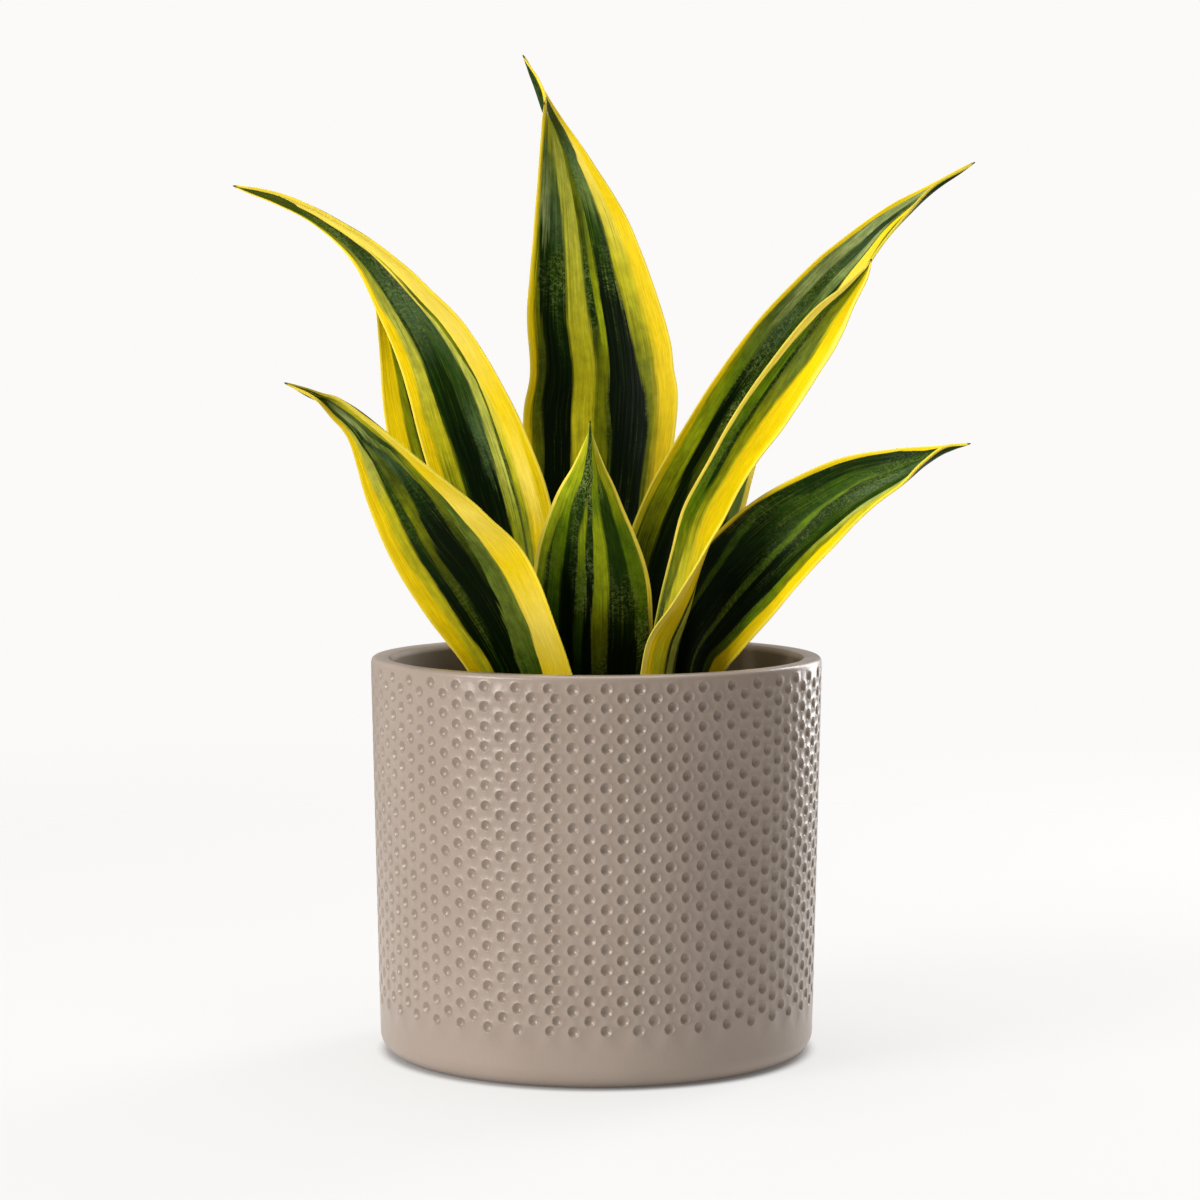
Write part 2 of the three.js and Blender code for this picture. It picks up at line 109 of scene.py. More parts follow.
# Each leaf is a list of rows from its foot to its tip, in millimetres: x, y and z of its left
# margin, the same of its right margin, and how far the channel between them is sunk.
LEAVES = {
    "leaf_back_centre": dict(keel=3, crease=0.5, softness=1.2, rows=[
        (-9, 24, 97, 11, 24, 97, 5), (-14, 28, 114, 16, 28, 114, 7), (-21.5, 33, 162, 20, 33, 162, 8),
        (-24.9, 40, 207, 27.2, 40, 210.5, 8), (-22.5, 44, 226, 26.2, 44, 228, 7.6),
        (-23.5, 48, 248, 23.7, 48, 242.5, 7), (-20.5, 56, 286, 11.5, 56, 276.5, 6),
        (-18.5, 59, 312.5, -1.5, 61, 298.5, 4.5), (-18, 57, 321, -14, 65, 316.5, 3),
        (-20.5, 60, 327.5, -20.5, 64, 327, 1.6), (-25.9, 63, 335.4, -25.1, 63, 335.6, 0.2)]),
    "leaf_left_upper": dict(keel=2.8, crease=0.6, softness=0.35, rows=[
        (-26, -2, 97, -12, -6, 97, 4), (-35, -3, 114, -13, -8, 114, 6), (-42, -2, 154.5, -13, -6, 154.5, 7),
        (-56.5, 4, 196.5, -17.2, -4, 189.5, 8), (-65, 12, 226.5, -38.4, 2, 234, 7.5),
        (-73.5, 18, 246.5, -57.5, 8, 255.5, 6), (-82.5, 23, 264, -75, 15, 269.5, 3.5),
        (-95.5, 27, 276, -92.5, 21, 280, 1.6), (-108.5, 29, 283, -107, 26, 286, 0.9),
        (-123.1, 30, 288.6, -122.9, 30, 289.4, 0.2)]),
    "leaf_left_behind": dict(keel=2.6, crease=0.5, softness=1.2, rows=[
        (-28, 12, 97, -15, 14, 97, 3), (-37, 13, 114, -17, 17, 114, 5), (-53, 20, 146, -26, 21, 146, 4),
        (-65.5, 29, 179.5, -33, 27, 183, 3.5), (-72, 37, 208.5, -48.5, 34, 210, 3.5),
        (-74, 42, 229, -60.5, 40, 231, 3), (-75, 44, 244, -69.5, 45, 247, 2.5),
        (-77.5, 48, 256, -75.5, 48, 258, 1), (-79.4, 50, 263.8, -78.6, 50, 264.2, 0.2)]),
    "leaf_left_front": dict(keel=2.8, crease=0.62, softness=0.3, rows=[
        (-25, -20, 97, -8, -27, 97, 3), (-35, -28, 114, -8, -38, 114, 6), (-41, -31, 129, -8, -43, 129, 8),
        (-54.5, -37, 148, -21, -52, 165.5, 9), (-65, -44, 166, -35.5, -60, 182, 8),
        (-72.5, -52, 185.5, -50.8, -66, 195.6, 6.5), (-77.5, -61, 205, -71, -70, 211.6, 4),
        (-83, -67, 213, -80, -71, 218, 2.5), (-88, -73, 219, -87, -71, 220.5, 1.6),
        (-96.7, -76, 223.2, -96.3, -76, 223.8, 0.2)]),
    "leaf_front_small": dict(keel=2.4, crease=0.5, softness=1, rows=[
        (-13, -15, 97, 9, -15, 97, -4), (-18, -18, 114, 15, -18, 114, -6), (-21.5, -21, 139.5, 18, -21, 139.5, -7),
        (-19.5, -26, 166, 16, -26, 163, -7), (-13, -33, 186, 7, -33, 186, -5), (-7, -38, 197, 2, -38, 197, -2.8),
        (-2.5, -42, 206.5, -1.5, -42, 206.5, -0.9), (-2.4, -45, 211, -1.6, -45, 211, -0.2)]),
    "leaf_right_tall": dict(keel=2.8, crease=0.5, softness=1, rows=[
        (3, 4, 97, 19, 2, 97, 4), (2, 5, 114, 26, 5, 114, 6), (7, 8, 150.5, 32.5, 6, 144.5, 7),
        (14.5, 15, 179.5, 39, 9, 170.5, 7), (31.5, 25, 210, 53.5, 15, 198.5, 7), (52.5, 36, 240, 69, 24, 226.5, 7),
        (73, 46, 261.5, 82.5, 34, 247, 6), (85, 50, 271.5, 90, 39, 258.3, 5),
        (94.5, 53, 278.5, 98.2, 42, 270.2, 3.5), (104, 56, 284.5, 106.8, 48, 280.2, 2.8),
        (116, 59, 290.5, 116.5, 54, 290, 1.6), (131.3, 62, 298.8, 131.7, 62, 298.2, 0.2)]),
    "leaf_right_front": dict(keel=2.6, crease=0.5, softness=0.8, curls=True, rows=[
        (13, -18, 97, 12, -28, 97, 5), (16, -24, 114, 13, -36, 114, 7), (17.5, -25, 127.5, 14.5, -38, 128.5, 8),
        (18.5, -25, 139.5, 17, -39, 140.5, 8.5), (20.5, -25, 150.5, 24.5, -39, 152, 7.3),
        (24.5, -24, 167, 33.5, -36, 166.5, 5), (28.5, -23, 182, 40.5, -31, 177.5, 4.5),
        (36, -20, 196, 49, -27, 193, 5), (46.5, -16, 214.5, 61.7, -23, 210.3, 5),
        (58.5, -11, 231, 72.5, -18, 225.7, 4.5), (71, -6, 246, 80, -12, 238, 3.5),
        (82.5, -3, 255, 84.5, -7, 248, 2), (88.5, -1, 260.5, 89.5, -3, 257.5, 1),
        (90.7, 0, 263.7, 91.3, 0, 263.3, 0.2)]),
    "leaf_right_low": dict(keel=2.8, crease=0.5, softness=1, rows=[
        (15, -7, 97, 30, -10, 97, 3), (18, -9, 114, 38, -13, 114, 4), (19.5, -10, 138.5, 41.5, -16, 127, 5.5),
        (29, -11, 160, 47.4, -21, 135.6, 7), (39.7, -14, 173.6, 59.6, -27, 150.5, 7.5),
        (56.2, -20, 187, 72, -34, 165.5, 7), (77.6, -29, 197.9, 87, -43, 182.5, 6),
        (95.5, -37, 201.5, 97.2, -49, 191, 4), (105, -42, 202.5, 103.5, -51, 197.5, 2.4),
        (111, -46, 203, 110.5, -52, 203, 1.6), (118.5, -53, 204.4, 118.5, -53, 203.6, 0.2)]),
    "leaf_right_behind": dict(keel=2.4, crease=0.5, softness=1.2, rows=[
        (17, 17, 97, 29, 15, 97, 3), (20, 20, 114, 38, 17, 114, 5), (21.5, 28, 149, 45, 26, 145.5, 6),
        (26, 36, 167, 49, 33, 171, 6), (34, 42, 180.5, 51.5, 40, 182.5, 5), (43.5, 48, 192.5, 55, 46, 195.5, 3),
        (51.5, 52, 200, 56, 51, 201.5, 1.5), (58.2, 56, 208.3, 58.8, 56, 207.7, 0.2)]),
}


def colour(red, green, blue, streaks=0.0):
    """A colour given in sRGB steps of 255, as the linear values the shaders take."""
    def linear(step):
        part = step / 255
        return part / 12.92 if part <= 0.04045 else ((part + 0.055) / 1.055) ** 2.4
    return (linear(red), linear(green), linear(blue), streaks)


# Colours of the leaves, some with painted light in them, and how streaked each one is
GOLD = colour(234, 201, 10, 0.05)
DEEP_GOLD = colour(212, 182, 4, 0.14)
# Pale gold: partly the paler yellow of the margins, partly a painted highlight
PALE_GOLD_AND_HIGHLIGHT = colour(240, 214, 84, 0.08)
KHAKI = colour(190, 182, 28, 0.3)
# Painted light: an olive made brighter to stand for light falling on it
LIT_OLIVE = colour(232, 220, 34, 0.3)
PALE_OLIVE = colour(178, 180, 70, 0.4)
OLIVE = colour(122, 128, 8, 0.5)
BRONZE = colour(62, 72, 5, 0.5)
LIME = colour(156, 170, 20, 0.45)
FRESH = colour(96, 124, 8, 0.5)
LEAF = colour(56, 86, 10, 0.55)
DEEP = colour(36, 62, 4, 0.5)
MOSS = colour(98, 114, 40, 0.65)
GREY = colour(94, 116, 54, 0.6)
# Pale grey-green: partly the leaf's own tone, partly painted sheen
PALE_MOSS_AND_SHEEN = colour(148, 162, 100, 0.5)
# Painted sheen: the grey-green gloss on the dark green
SHEEN = colour(60, 82, 50, 0.5)
DARK = colour(18, 42, 3, 0.4)
BLACK = colour(5, 18, 1, 0.09)
PALE_LINE = colour(168, 184, 96, 0.1)
# The pale line along the margin, partly a painted highlight on the edge
EDGE_LINE_AND_HIGHLIGHT = colour(248, 226, 84)
TIP_BROWN = colour(60, 48, 20)

# Glaze of the pot
GLAZE_LIGHT = (0.33, 0.262, 0.213, 1)
GLAZE_DARK = (0.296, 0.232, 0.186, 1)
GLAZE_DEEP = (0.17, 0.12, 0.085, 1)
# Painted shade: the inner faces take a darker glaze than the outside
SHADED_INSIDE_GLAZE = (0.25, 0.182, 0.12, 1)
GLAZE_SPECK = (0.15, 0.115, 0.088, 1)

# Bands of each leaf's face, side by side from its left margin to its right. "ends" tells
# how far across every band but the last reaches at places along the leaf, "soft" how
# gradual each of these ends is, and "shades" each band's colours along it, all in percent.
# Most dark bands turn darker towards the foot of the leaf, which is painted shade
BANDS = {
    "leaf_back_centre": {"soft": (3, 3, 4, 3, 4, 2, 1.5, 3.5, 9), "ends": {
        20: (5, 10, 18, 33, 50, 56, 60, 85, 89), 40: (5, 11, 18, 31, 47, 56, 59, 83, 88),
        45: (5, 12, 17, 31, 46, 54, 58, 83, 88), 50: (4, 10, 16, 30, 45, 51, 54, 80, 87),
        55: (4, 10, 18, 29, 46, 51, 55, 76, 88), 60: (4, 9, 18, 28, 45, 52, 56, 74, 87),
        65: (3, 5, 14, 28, 43, 50, 55, 72, 87), 70: (2, 4, 14, 28, 43, 49, 55, 72, 87),
        75: (2, 3, 12, 27, 43, 50, 55, 72, 86), 80: (1, 2, 12, 22, 40, 48, 51, 70, 84),
        85: (2, 3, 9, 17, 37, 42, 46, 70, 85), 90: (5, 6, 10, 18, 25, 32, 38, 88, 92),
        94: (5, 8, 12, 16, 20, 24, 28, 92, 96)}, "shades": [
        {20: DEEP_GOLD, 50: GOLD}, {35: OLIVE, 55: BRONZE, 65: OLIVE},
        {60: BLACK, 70: DARK, 75: PALE_MOSS_AND_SHEEN, 84: GREY, 90: KHAKI},
        {50: BLACK, 62: DARK, 68: DEEP, 74: SHEEN, 80: GREY, 90: KHAKI},
        {42: LIT_OLIVE, 55: KHAKI, 85: PALE_OLIVE, 92: OLIVE},
        {52: OLIVE, 60: DARK, 68: DEEP, 76: BRONZE, 90: OLIVE},
        {45: BRONZE, 55: OLIVE, 62: LIME, 70: OLIVE, 78: MOSS, 84: LEAF},
        {64: BLACK, 70: DARK, 76: DEEP, 80: GREY, 86: SHEEN, 92: BRONZE},
        {55: OLIVE, 70: KHAKI, 86: PALE_GOLD_AND_HIGHLIGHT}, {30: DEEP_GOLD, 45: GOLD}]},
    "leaf_left_upper": {"soft": (4, 3, 1, 5, 2.5, 1.5, 2, 8, 5), "ends": {
        30: (8, 19, 21, 34, 47, 58, 61, 70, 90), 40: (8, 18, 21, 34, 46, 57, 61, 70, 88),
        45: (8, 18, 21, 38, 47, 58, 62, 70, 90), 50: (6, 17, 20, 36, 49, 60, 63, 72, 95),
        55: (7, 17, 20, 35, 50, 62, 65, 70, 96), 60: (8, 17, 20, 32, 47, 54, 60, 62, 96),
        65: (8, 16, 20, 30, 45, 50, 58, 60, 96), 70: (5, 16, 19, 28, 42, 45, 52, 54, 96),
        75: (5, 14, 17, 26, 38, 42, 45, 46, 96), 80: (3, 9, 12, 20, 33, 36, 37, 38, 96),
        85: (2, 6, 9, 18, 30, 32, 33, 34, 96), 90: (2, 5, 9, 20, 34, 37, 38, 39, 96),
        93: (3, 6, 12, 30, 80, 84, 86, 88, 97), 96: (3, 5, 15, 50, 90, 92, 94, 95, 98)}, "shades": [
        {40: DEEP_GOLD, 50: GOLD}, {38: OLIVE, 46: KHAKI, 66: PALE_OLIVE, 78: OLIVE},
        {75: DARK, 85: BRONZE}, {45: BLACK, 58: DARK, 68: SHEEN, 80: DEEP, 93: BRONZE},
        {40: BLACK, 47: SHEEN, 56: DEEP, 68: SHEEN, 78: DARK, 93: BRONZE},
        {35: OLIVE, 42: PALE_OLIVE, 65: PALE_OLIVE, 72: PALE_GOLD_AND_HIGHLIGHT},
        {55: BRONZE, 63: OLIVE, 70: BRONZE, 78: KHAKI}, {35: OLIVE, 45: KHAKI, 60: PALE_GOLD_AND_HIGHLIGHT},
        {34: DEEP_GOLD, 42: PALE_GOLD_AND_HIGHLIGHT, 52: GOLD, 62: PALE_GOLD_AND_HIGHLIGHT}, {40: DEEP_GOLD, 55: GOLD}]},
    "leaf_left_behind": {"soft": (5, 6, 3), "ends": {
        20: (16, 28, 94), 60: (22, 34, 94), 80: (28, 42, 94)}, "shades": [
        {25: DEEP_GOLD, 36: GOLD}, {50: OLIVE}, {50: BLACK, 80: DARK}, {50: GOLD}]},
    "leaf_left_front": {"soft": (4, 2, 1.5, 2.5, 2, 1.2, 0.9, 2.5, 2), "ends": {
        20: (7, 14, 20, 22, 31, 32, 34, 50, 97), 25: (7, 15, 20, 22, 32, 33.5, 35.5, 52, 97),
        30: (7, 14, 20, 23, 35, 36.5, 38.5, 56, 97), 35: (8, 13, 20, 23, 37, 38.5, 40, 56.5, 97),
        40: (8, 13, 20, 24, 38, 40.5, 42, 57, 97), 45: (8, 13, 20, 24, 39, 43.5, 45, 57, 97),
        50: (8, 14, 21, 25, 41, 46.5, 48, 59, 97), 55: (8, 15, 22, 27, 43, 50, 52, 60, 97),
        60: (8, 16, 23, 30, 45, 53, 55, 60, 97), 65: (9, 17, 23, 32, 46, 54, 55, 60, 97),
        70: (8, 17, 22.5, 32.5, 44, 50, 54, 60, 97), 75: (8, 18, 21.5, 30, 38, 46, 56, 62, 97),
        80: (9, 15, 18, 20, 25, 33, 43, 60, 97), 85: (8, 12, 15, 17, 20, 30, 38, 48, 97),
        90: (8, 10, 12, 14, 17, 36, 42, 47, 97), 94: (4, 8, 12, 40, 70, 80, 84, 88, 97)}, "shades": [
        {20: DEEP_GOLD, 40: GOLD}, {66: KHAKI, 72: PALE_OLIVE}, {42: BLACK, 55: DARK, 68: DEEP, 76: DARK},
        {25: DARK, 45: BRONZE, 62: OLIVE, 70: BRONZE, 80: MOSS, 93: BRONZE},
        {55: BLACK, 66: DARK, 74: SHEEN, 82: DARK, 93: BRONZE},
        {40: BLACK, 55: BRONZE, 68: OLIVE, 77: MOSS, 86: PALE_MOSS_AND_SHEEN, 93: BRONZE},
        {56: MOSS, 64: BRONZE, 70: OLIVE, 76: DARK, 88: GREY},
        {20: LEAF, 32: MOSS, 50: MOSS, 58: LEAF, 66: OLIVE, 75: OLIVE, 85: KHAKI},
        {20: GOLD, 30: PALE_GOLD_AND_HIGHLIGHT, 42: GOLD, 56: PALE_GOLD_AND_HIGHLIGHT, 68: GOLD, 82: PALE_GOLD_AND_HIGHLIGHT, 88: KHAKI, 94: BRONZE},
        {50: GOLD, 90: KHAKI, 96: BRONZE}]},
    "leaf_front_small": {"soft": (1.5, 3, 3, 3, 3, 2, 2, 3, 3, 2), "ends": {
        20: (3, 8, 14, 24, 36, 42, 50, 62, 88, 97), 35: (3, 9, 14, 25, 36, 43, 50, 63, 87, 97),
        45: (3, 9, 14, 25, 37, 45, 51, 63, 86, 97), 55: (3, 10, 14, 25, 38, 46, 53, 65, 83, 97),
        60: (3, 10, 14, 26, 39, 45, 53, 66, 83, 97), 65: (3, 12, 14, 27, 40, 46, 54, 67, 84, 97),
        70: (3, 14, 15, 27, 42, 48, 55, 67, 84, 97), 75: (4, 18, 19, 27, 46, 50, 57, 68, 85, 97),
        80: (4, 20, 20, 31, 50, 51, 57, 69, 84, 97), 85: (4, 25, 25, 36, 56, 57, 62, 74, 79, 97),
        90: (4, 30, 30, 38, 56, 57, 62, 72, 74, 97), 95: (3, 20, 20, 38, 55, 56, 62, 70, 72, 97)}, "shades": [
        {30: OLIVE, 50: EDGE_LINE_AND_HIGHLIGHT}, {30: LEAF, 45: FRESH, 60: LIME, 84: LIME, 92: KHAKI},
        {50: DARK, 70: DEEP, 80: FRESH}, {32: BLACK, 45: LEAF, 60: FRESH, 72: FRESH, 84: LIME},
        {50: BLACK, 65: DARK, 80: DEEP, 92: DARK}, {30: DARK, 42: LEAF, 55: FRESH, 72: LIME, 80: DEEP},
        {48: BLACK, 65: DARK, 88: DEEP}, {28: BRONZE, 40: OLIVE, 50: LIME, 70: LIME, 76: FRESH, 88: LIME},
        {35: BLACK, 48: DARK, 64: DEEP, 78: DEEP, 84: FRESH, 90: OLIVE},
        {30: DARK, 40: LEAF, 52: FRESH, 68: FRESH, 76: LIME, 90: KHAKI}, {30: OLIVE, 50: EDGE_LINE_AND_HIGHLIGHT}]},
    "leaf_right_tall": {"soft": (2, 5, 4, 4, 4, 3, 3, 2), "ends": {
        20: (4, 14, 28, 50, 60, 88, 93, 104), 30: (4, 12, 28, 50, 60, 88, 93, 104),
        35: (5, 12, 26, 42, 52, 88, 93, 104), 40: (5, 12, 22, 33, 44, 88, 93, 104),
        45: (5, 12, 20, 32, 42, 88, 93, 104), 50: (4, 10, 18, 30, 42, 88, 93, 104),
        55: (4, 9, 18, 30, 42, 88, 93, 104), 60: (3, 7, 18, 36, 44, 86, 92, 104),
        65: (3, 7, 19, 35, 46, 80, 88, 104), 70: (3, 7, 20, 35, 50, 66, 70, 104),
        75: (3, 8, 20, 36, 55, 57, 59, 104), 79: (4, 9, 22, 38, 51, 53, 55, 98),
        82: (5, 10, 24, 38, 48, 50, 52, 84), 85: (7, 13, 26, 38, 45, 47, 49, 70),
        88: (9, 14, 26, 36, 42, 44, 45, 60), 92: (12, 16, 28, 36, 40, 42, 43, 54)}, "shades": [
        {30: KHAKI, 42: DEEP_GOLD, 55: GOLD},
        {26: BRONZE, 34: OLIVE, 42: LIME, 55: OLIVE, 64: GREY, 78: PALE_MOSS_AND_SHEEN},
        {26: BRONZE, 34: OLIVE, 45: LIME, 54: FRESH, 62: MOSS, 72: PALE_MOSS_AND_SHEEN},
        {50: BLACK, 57: DARK, 64: SHEEN, 70: DEEP, 78: SHEEN, 86: DARK, 92: SHEEN},
        {34: BLACK, 42: BRONZE, 52: DARK, 64: DEEP, 71: GREY, 80: PALE_MOSS_AND_SHEEN, 88: BRONZE}, {50: DARK},
        {50: OLIVE}, {60: DEEP_GOLD, 72: PALE_GOLD_AND_HIGHLIGHT, 85: GOLD}, {80: OLIVE, 90: BRONZE}]},
    "leaf_right_front": {"soft": (1.5, 3, 4, 8, 10, 8), "ends": {
        25: (2, 5, 7, 30, 36, 92), 30: (2, 7, 10, 30, 36, 92), 35: (2, 12, 15, 32, 38, 92),
        40: (2, 15, 19, 34, 40, 92), 45: (2, 17, 22, 36, 42, 92), 50: (2, 17, 24, 36, 41, 92),
        55: (2, 13, 23, 36, 41, 92), 60: (2, 15, 22, 37, 42, 92), 65: (3, 17, 24, 39, 44, 92),
        70: (4, 18, 25, 44, 48, 92), 75: (6, 18, 25, 50, 54, 92), 80: (9, 18, 25, 56, 61, 92),
        85: (11, 17, 26, 52, 60, 92), 90: (10, 14, 22, 48, 56, 92), 95: (8, 12, 18, 40, 50, 92)}, "shades": [
        {30: OLIVE, 40: PALE_GOLD_AND_HIGHLIGHT}, {30: BRONZE, 38: OLIVE, 46: FRESH, 60: LEAF, 70: FRESH, 88: LEAF},
        {30: DARK, 40: OLIVE, 46: FRESH, 52: DARK, 68: DARK, 78: DARK, 88: BRONZE},
        {36: KHAKI, 50: OLIVE, 65: OLIVE, 80: MOSS, 90: OLIVE},
        {36: DEEP_GOLD, 50: KHAKI, 66: OLIVE, 80: OLIVE, 88: KHAKI},
        {36: KHAKI, 42: DEEP_GOLD, 60: DEEP_GOLD, 80: GOLD, 92: DEEP_GOLD},
        {40: KHAKI, 50: DEEP_GOLD, 60: GOLD, 80: PALE_GOLD_AND_HIGHLIGHT}]},
    "leaf_right_low": {"soft": (1.5, 3, 3, 3, 3, 4, 6, 2, 2, 3), "ends": {
        25: (2, 20, 22, 53, 56, 62, 68, 72, 74, 82), 30: (2, 20, 23, 53, 59, 62, 70, 76, 78, 86),
        35: (2, 19, 23, 52, 58, 62, 70, 78, 80, 87), 40: (2, 17, 22, 50, 57, 62, 70, 78, 80.5, 88),
        45: (2, 13, 19, 48, 55, 62, 70, 79, 82, 90), 50: (2, 9, 15, 47, 54, 64, 72, 79, 83, 90),
        55: (2, 4, 10, 45, 52, 60, 70, 78, 83, 90), 60: (2, 6, 9, 42, 49, 55, 70, 77, 82, 88),
        65: (3, 20, 21.5, 40, 44, 52, 68, 78, 83, 90), 70: (4, 18, 20, 38, 42, 50, 69, 79.5, 84, 88),
        75: (4, 19, 21, 36, 38, 49, 68, 80, 86, 90), 80: (3, 20, 22, 34, 37, 45, 62, 80, 85, 88),
        85: (3, 20, 22, 30, 33, 42, 60, 78, 82, 86), 90: (10, 18, 20, 30, 33, 38, 60, 78, 82, 86)}, "shades": [
        {50: DEEP_GOLD, 80: GOLD}, {40: BLACK, 56: DARK},
        {32: BRONZE, 45: LEAF, 53: LEAF, 59: DARK, 70: DARK, 80: DEEP},
        {40: BLACK, 50: DARK, 62: DEEP, 72: LEAF, 85: DEEP},
        {30: BRONZE, 45: LEAF, 60: FRESH, 74: FRESH, 84: LEAF}, {50: BLACK, 62: DARK, 84: DEEP},
        {42: BLACK, 54: DARK, 66: DEEP, 76: SHEEN}, {45: BLACK, 62: DARK, 84: DEEP},
        {30: BRONZE, 42: FRESH, 55: OLIVE, 66: PALE_OLIVE, 78: PALE_MOSS_AND_SHEEN},
        {25: BRONZE, 40: FRESH, 52: OLIVE, 62: OLIVE, 72: PALE_OLIVE},
        {25: DEEP_GOLD, 36: GOLD, 64: GOLD, 74: KHAKI}]},
    "leaf_right_behind": {"soft": (4, 8, 8, 4), "ends": {
        20: (8, 30, 80, 93), 80: (8, 30, 70, 93)}, "shades": [
        {50: OLIVE}, {40: BLACK, 60: GREY}, {40: BLACK, 60: DARK}, {50: GREY}, {40: DEEP_GOLD, 60: PALE_GOLD_AND_HIGHLIGHT}]},
}
# The back of a leaf, and that of the leaf that curls round at its foot
UNDERSIDE = {"soft": (4, 4, 3, 3, 5, 3, 3, 4, 4), "ends": {
    10: (9, 14, 28, 35, 46, 58, 66, 86, 92), 70: (6, 10, 24, 30, 48, 60, 66, 90, 95),
    88: (3, 5, 24, 28, 40, 60, 64, 95, 97)}, "shades": [
    {30: DEEP_GOLD, 60: GOLD}, {50: OLIVE}, {50: DARK}, {50: LEAF}, {50: DARK}, {40: OLIVE, 70: LEAF, 80: DARK},
    {50: LEAF}, {50: DARK}, {50: OLIVE}, {30: DEEP_GOLD, 60: GOLD}]}
CURLED_UNDERSIDE = {"soft": (4, 4, 3, 3, 4, 3), "ends": {
    20: (48, 57, 69, 73, 90, 96), 30: (48, 58, 73, 77, 91, 96), 50: (20, 34, 50, 62, 90, 96),
    80: (8, 26, 40, 60, 90, 96)}, "shades": [
    {34: OLIVE, 38: GOLD}, {28: LEAF, 36: KHAKI, 42: GOLD, 55: OLIVE},
    {25: PALE_OLIVE, 34: KHAKI, 38: GOLD, 46: GOLD, 56: DARK},
    {28: DARK, 33: BRONZE, 37: KHAKI, 43: GOLD, 56: OLIVE},
    {20: KHAKI, 28: GOLD, 48: GOLD, 58: DARK}, {25: GOLD, 40: PALE_GOLD_AND_HIGHLIGHT, 55: LEAF}, {30: PALE_GOLD_AND_HIGHLIGHT}]}
# How strongly pale dapples show on the dark green
DAPPLES = {"leaf_front_small": 0.62, "leaf_back_centre": 0.34, "leaf_right_tall": 0.34, "leaf_left_front": 0.16}
PLAIN_DAPPLES = 0.22


# Node helpers

def node(tree, kind, inputs=None, **settings):
    made = tree.nodes.new("ShaderNode" + kind)
    for name, value in settings.items():
        setattr(made, name, value)
    for key, value in (inputs or {}).items():
        if isinstance(value, bpy.types.NodeSocket):
            tree.links.new(value, made.inputs[key])
        else:
            made.inputs[key].default_value = value
    return made


def calculate(tree, operation, first, second=0.0, third=0.0, clamp=False):
    return node(tree, "Math", {0: first, 1: second, 2: third}, operation=operation, use_clamp=clamp).outputs[0]


def spread(tree, value, low, high, to_low=0.0, to_high=1.0, how="LINEAR"):
    return node(tree, "MapRange", {"Value": value, "From Min": low, "From Max": high, "To Min": to_low,
                                   "To Max": to_high}, interpolation_type=how).outputs["Result"]


def blend(tree, factor, first, second, how="MIX"):
    return node(tree, "Mix", {0: factor, 6: first, 7: second}, data_type="RGBA", blend_type=how).outputs[2]


def shaded(tree, base, amount):
    """A colour made darker or lighter by a factor."""
    factor = node(tree, "CombineXYZ", {0: amount, 1: amount, 2: amount}).outputs[0]
    return blend(tree, 1.0, base, factor, "MULTIPLY")


def plus(tree, first, second, clamp=False):
    return calculate(tree, "ADD", first, second, clamp=clamp)


def minus(tree, first, second):
    return calculate(tree, "SUBTRACT", first, second)


def times(tree, first, second, clamp=False):
    return calculate(tree, "MULTIPLY", first, second, clamp=clamp)


def mixed(tree, factor, first, second):
    return calculate(tree, "MULTIPLY_ADD", minus(tree, second, first), factor, first)


def noise(tree, vector, scale=1.0, detail=2.0, roughness=0.5, distortion=0.0):
    return node(tree, "TexNoise", {"Vector": vector, "Scale": scale, "Detail": detail,
                                   "Roughness": roughness, "Distortion": distortion}).outputs[0]


def new_material(name):
    material = bpy.data.materials.new(name)
    material.use_nodes = True
    material.node_tree.nodes.clear()
    return material, material.node_tree


def finish_material(tree, base, rough, height, strength, distance, specular):
    bump = node(tree, "Bump", {"Height": height, "Strength": strength, "Distance": distance})
    shader = node(tree, "BsdfPrincipled", {"Base Color": base, "Roughness": rough, "Specular IOR Level": specular,
                                           "Normal": bump.outputs["Normal"]})
    node(tree, "OutputMaterial", {0: shader.outputs[0]})


def ramp_along(tree, along, stops):
    """A colour that changes along the leaf, with its streakiness as alpha."""
    ramp = node(tree, "ValToRGB", {"Fac": along})
    elements = ramp.color_ramp.elements
    elements.remove(elements[1])
    for number, (percent, shade) in enumerate(sorted(stops.items())):
        stop = elements[0] if number == 0 else elements.new(percent / 100)
        stop.position, stop.color = percent / 100, shade
    return ramp.outputs


def banded(tree, place, along, turned, bands):
    """Colour and streakiness of the bands at a place across and along a leaf."""
    shade, streaks = ramp_along(tree, turned, bands["shades"][0])
    for number, soft in enumerate(bands["soft"]):
        ends = {percent: (row[number] / 100,) * 3 + (1,) for percent, row in bands["ends"].items()}
        end = node(tree, "SeparateColor", {0: ramp_along(tree, along, ends)[0]}).outputs[0]
        following, following_streaks = ramp_along(tree, turned, bands["shades"][number + 1])
        passed = spread(tree, place, minus(tree, end, soft / 200), plus(tree, end, soft / 200), how="SMOOTHSTEP")
        shade = blend(tree, passed, shade, following)
        streaks = mixed(tree, passed, streaks, following_streaks)
    return shade, streaks


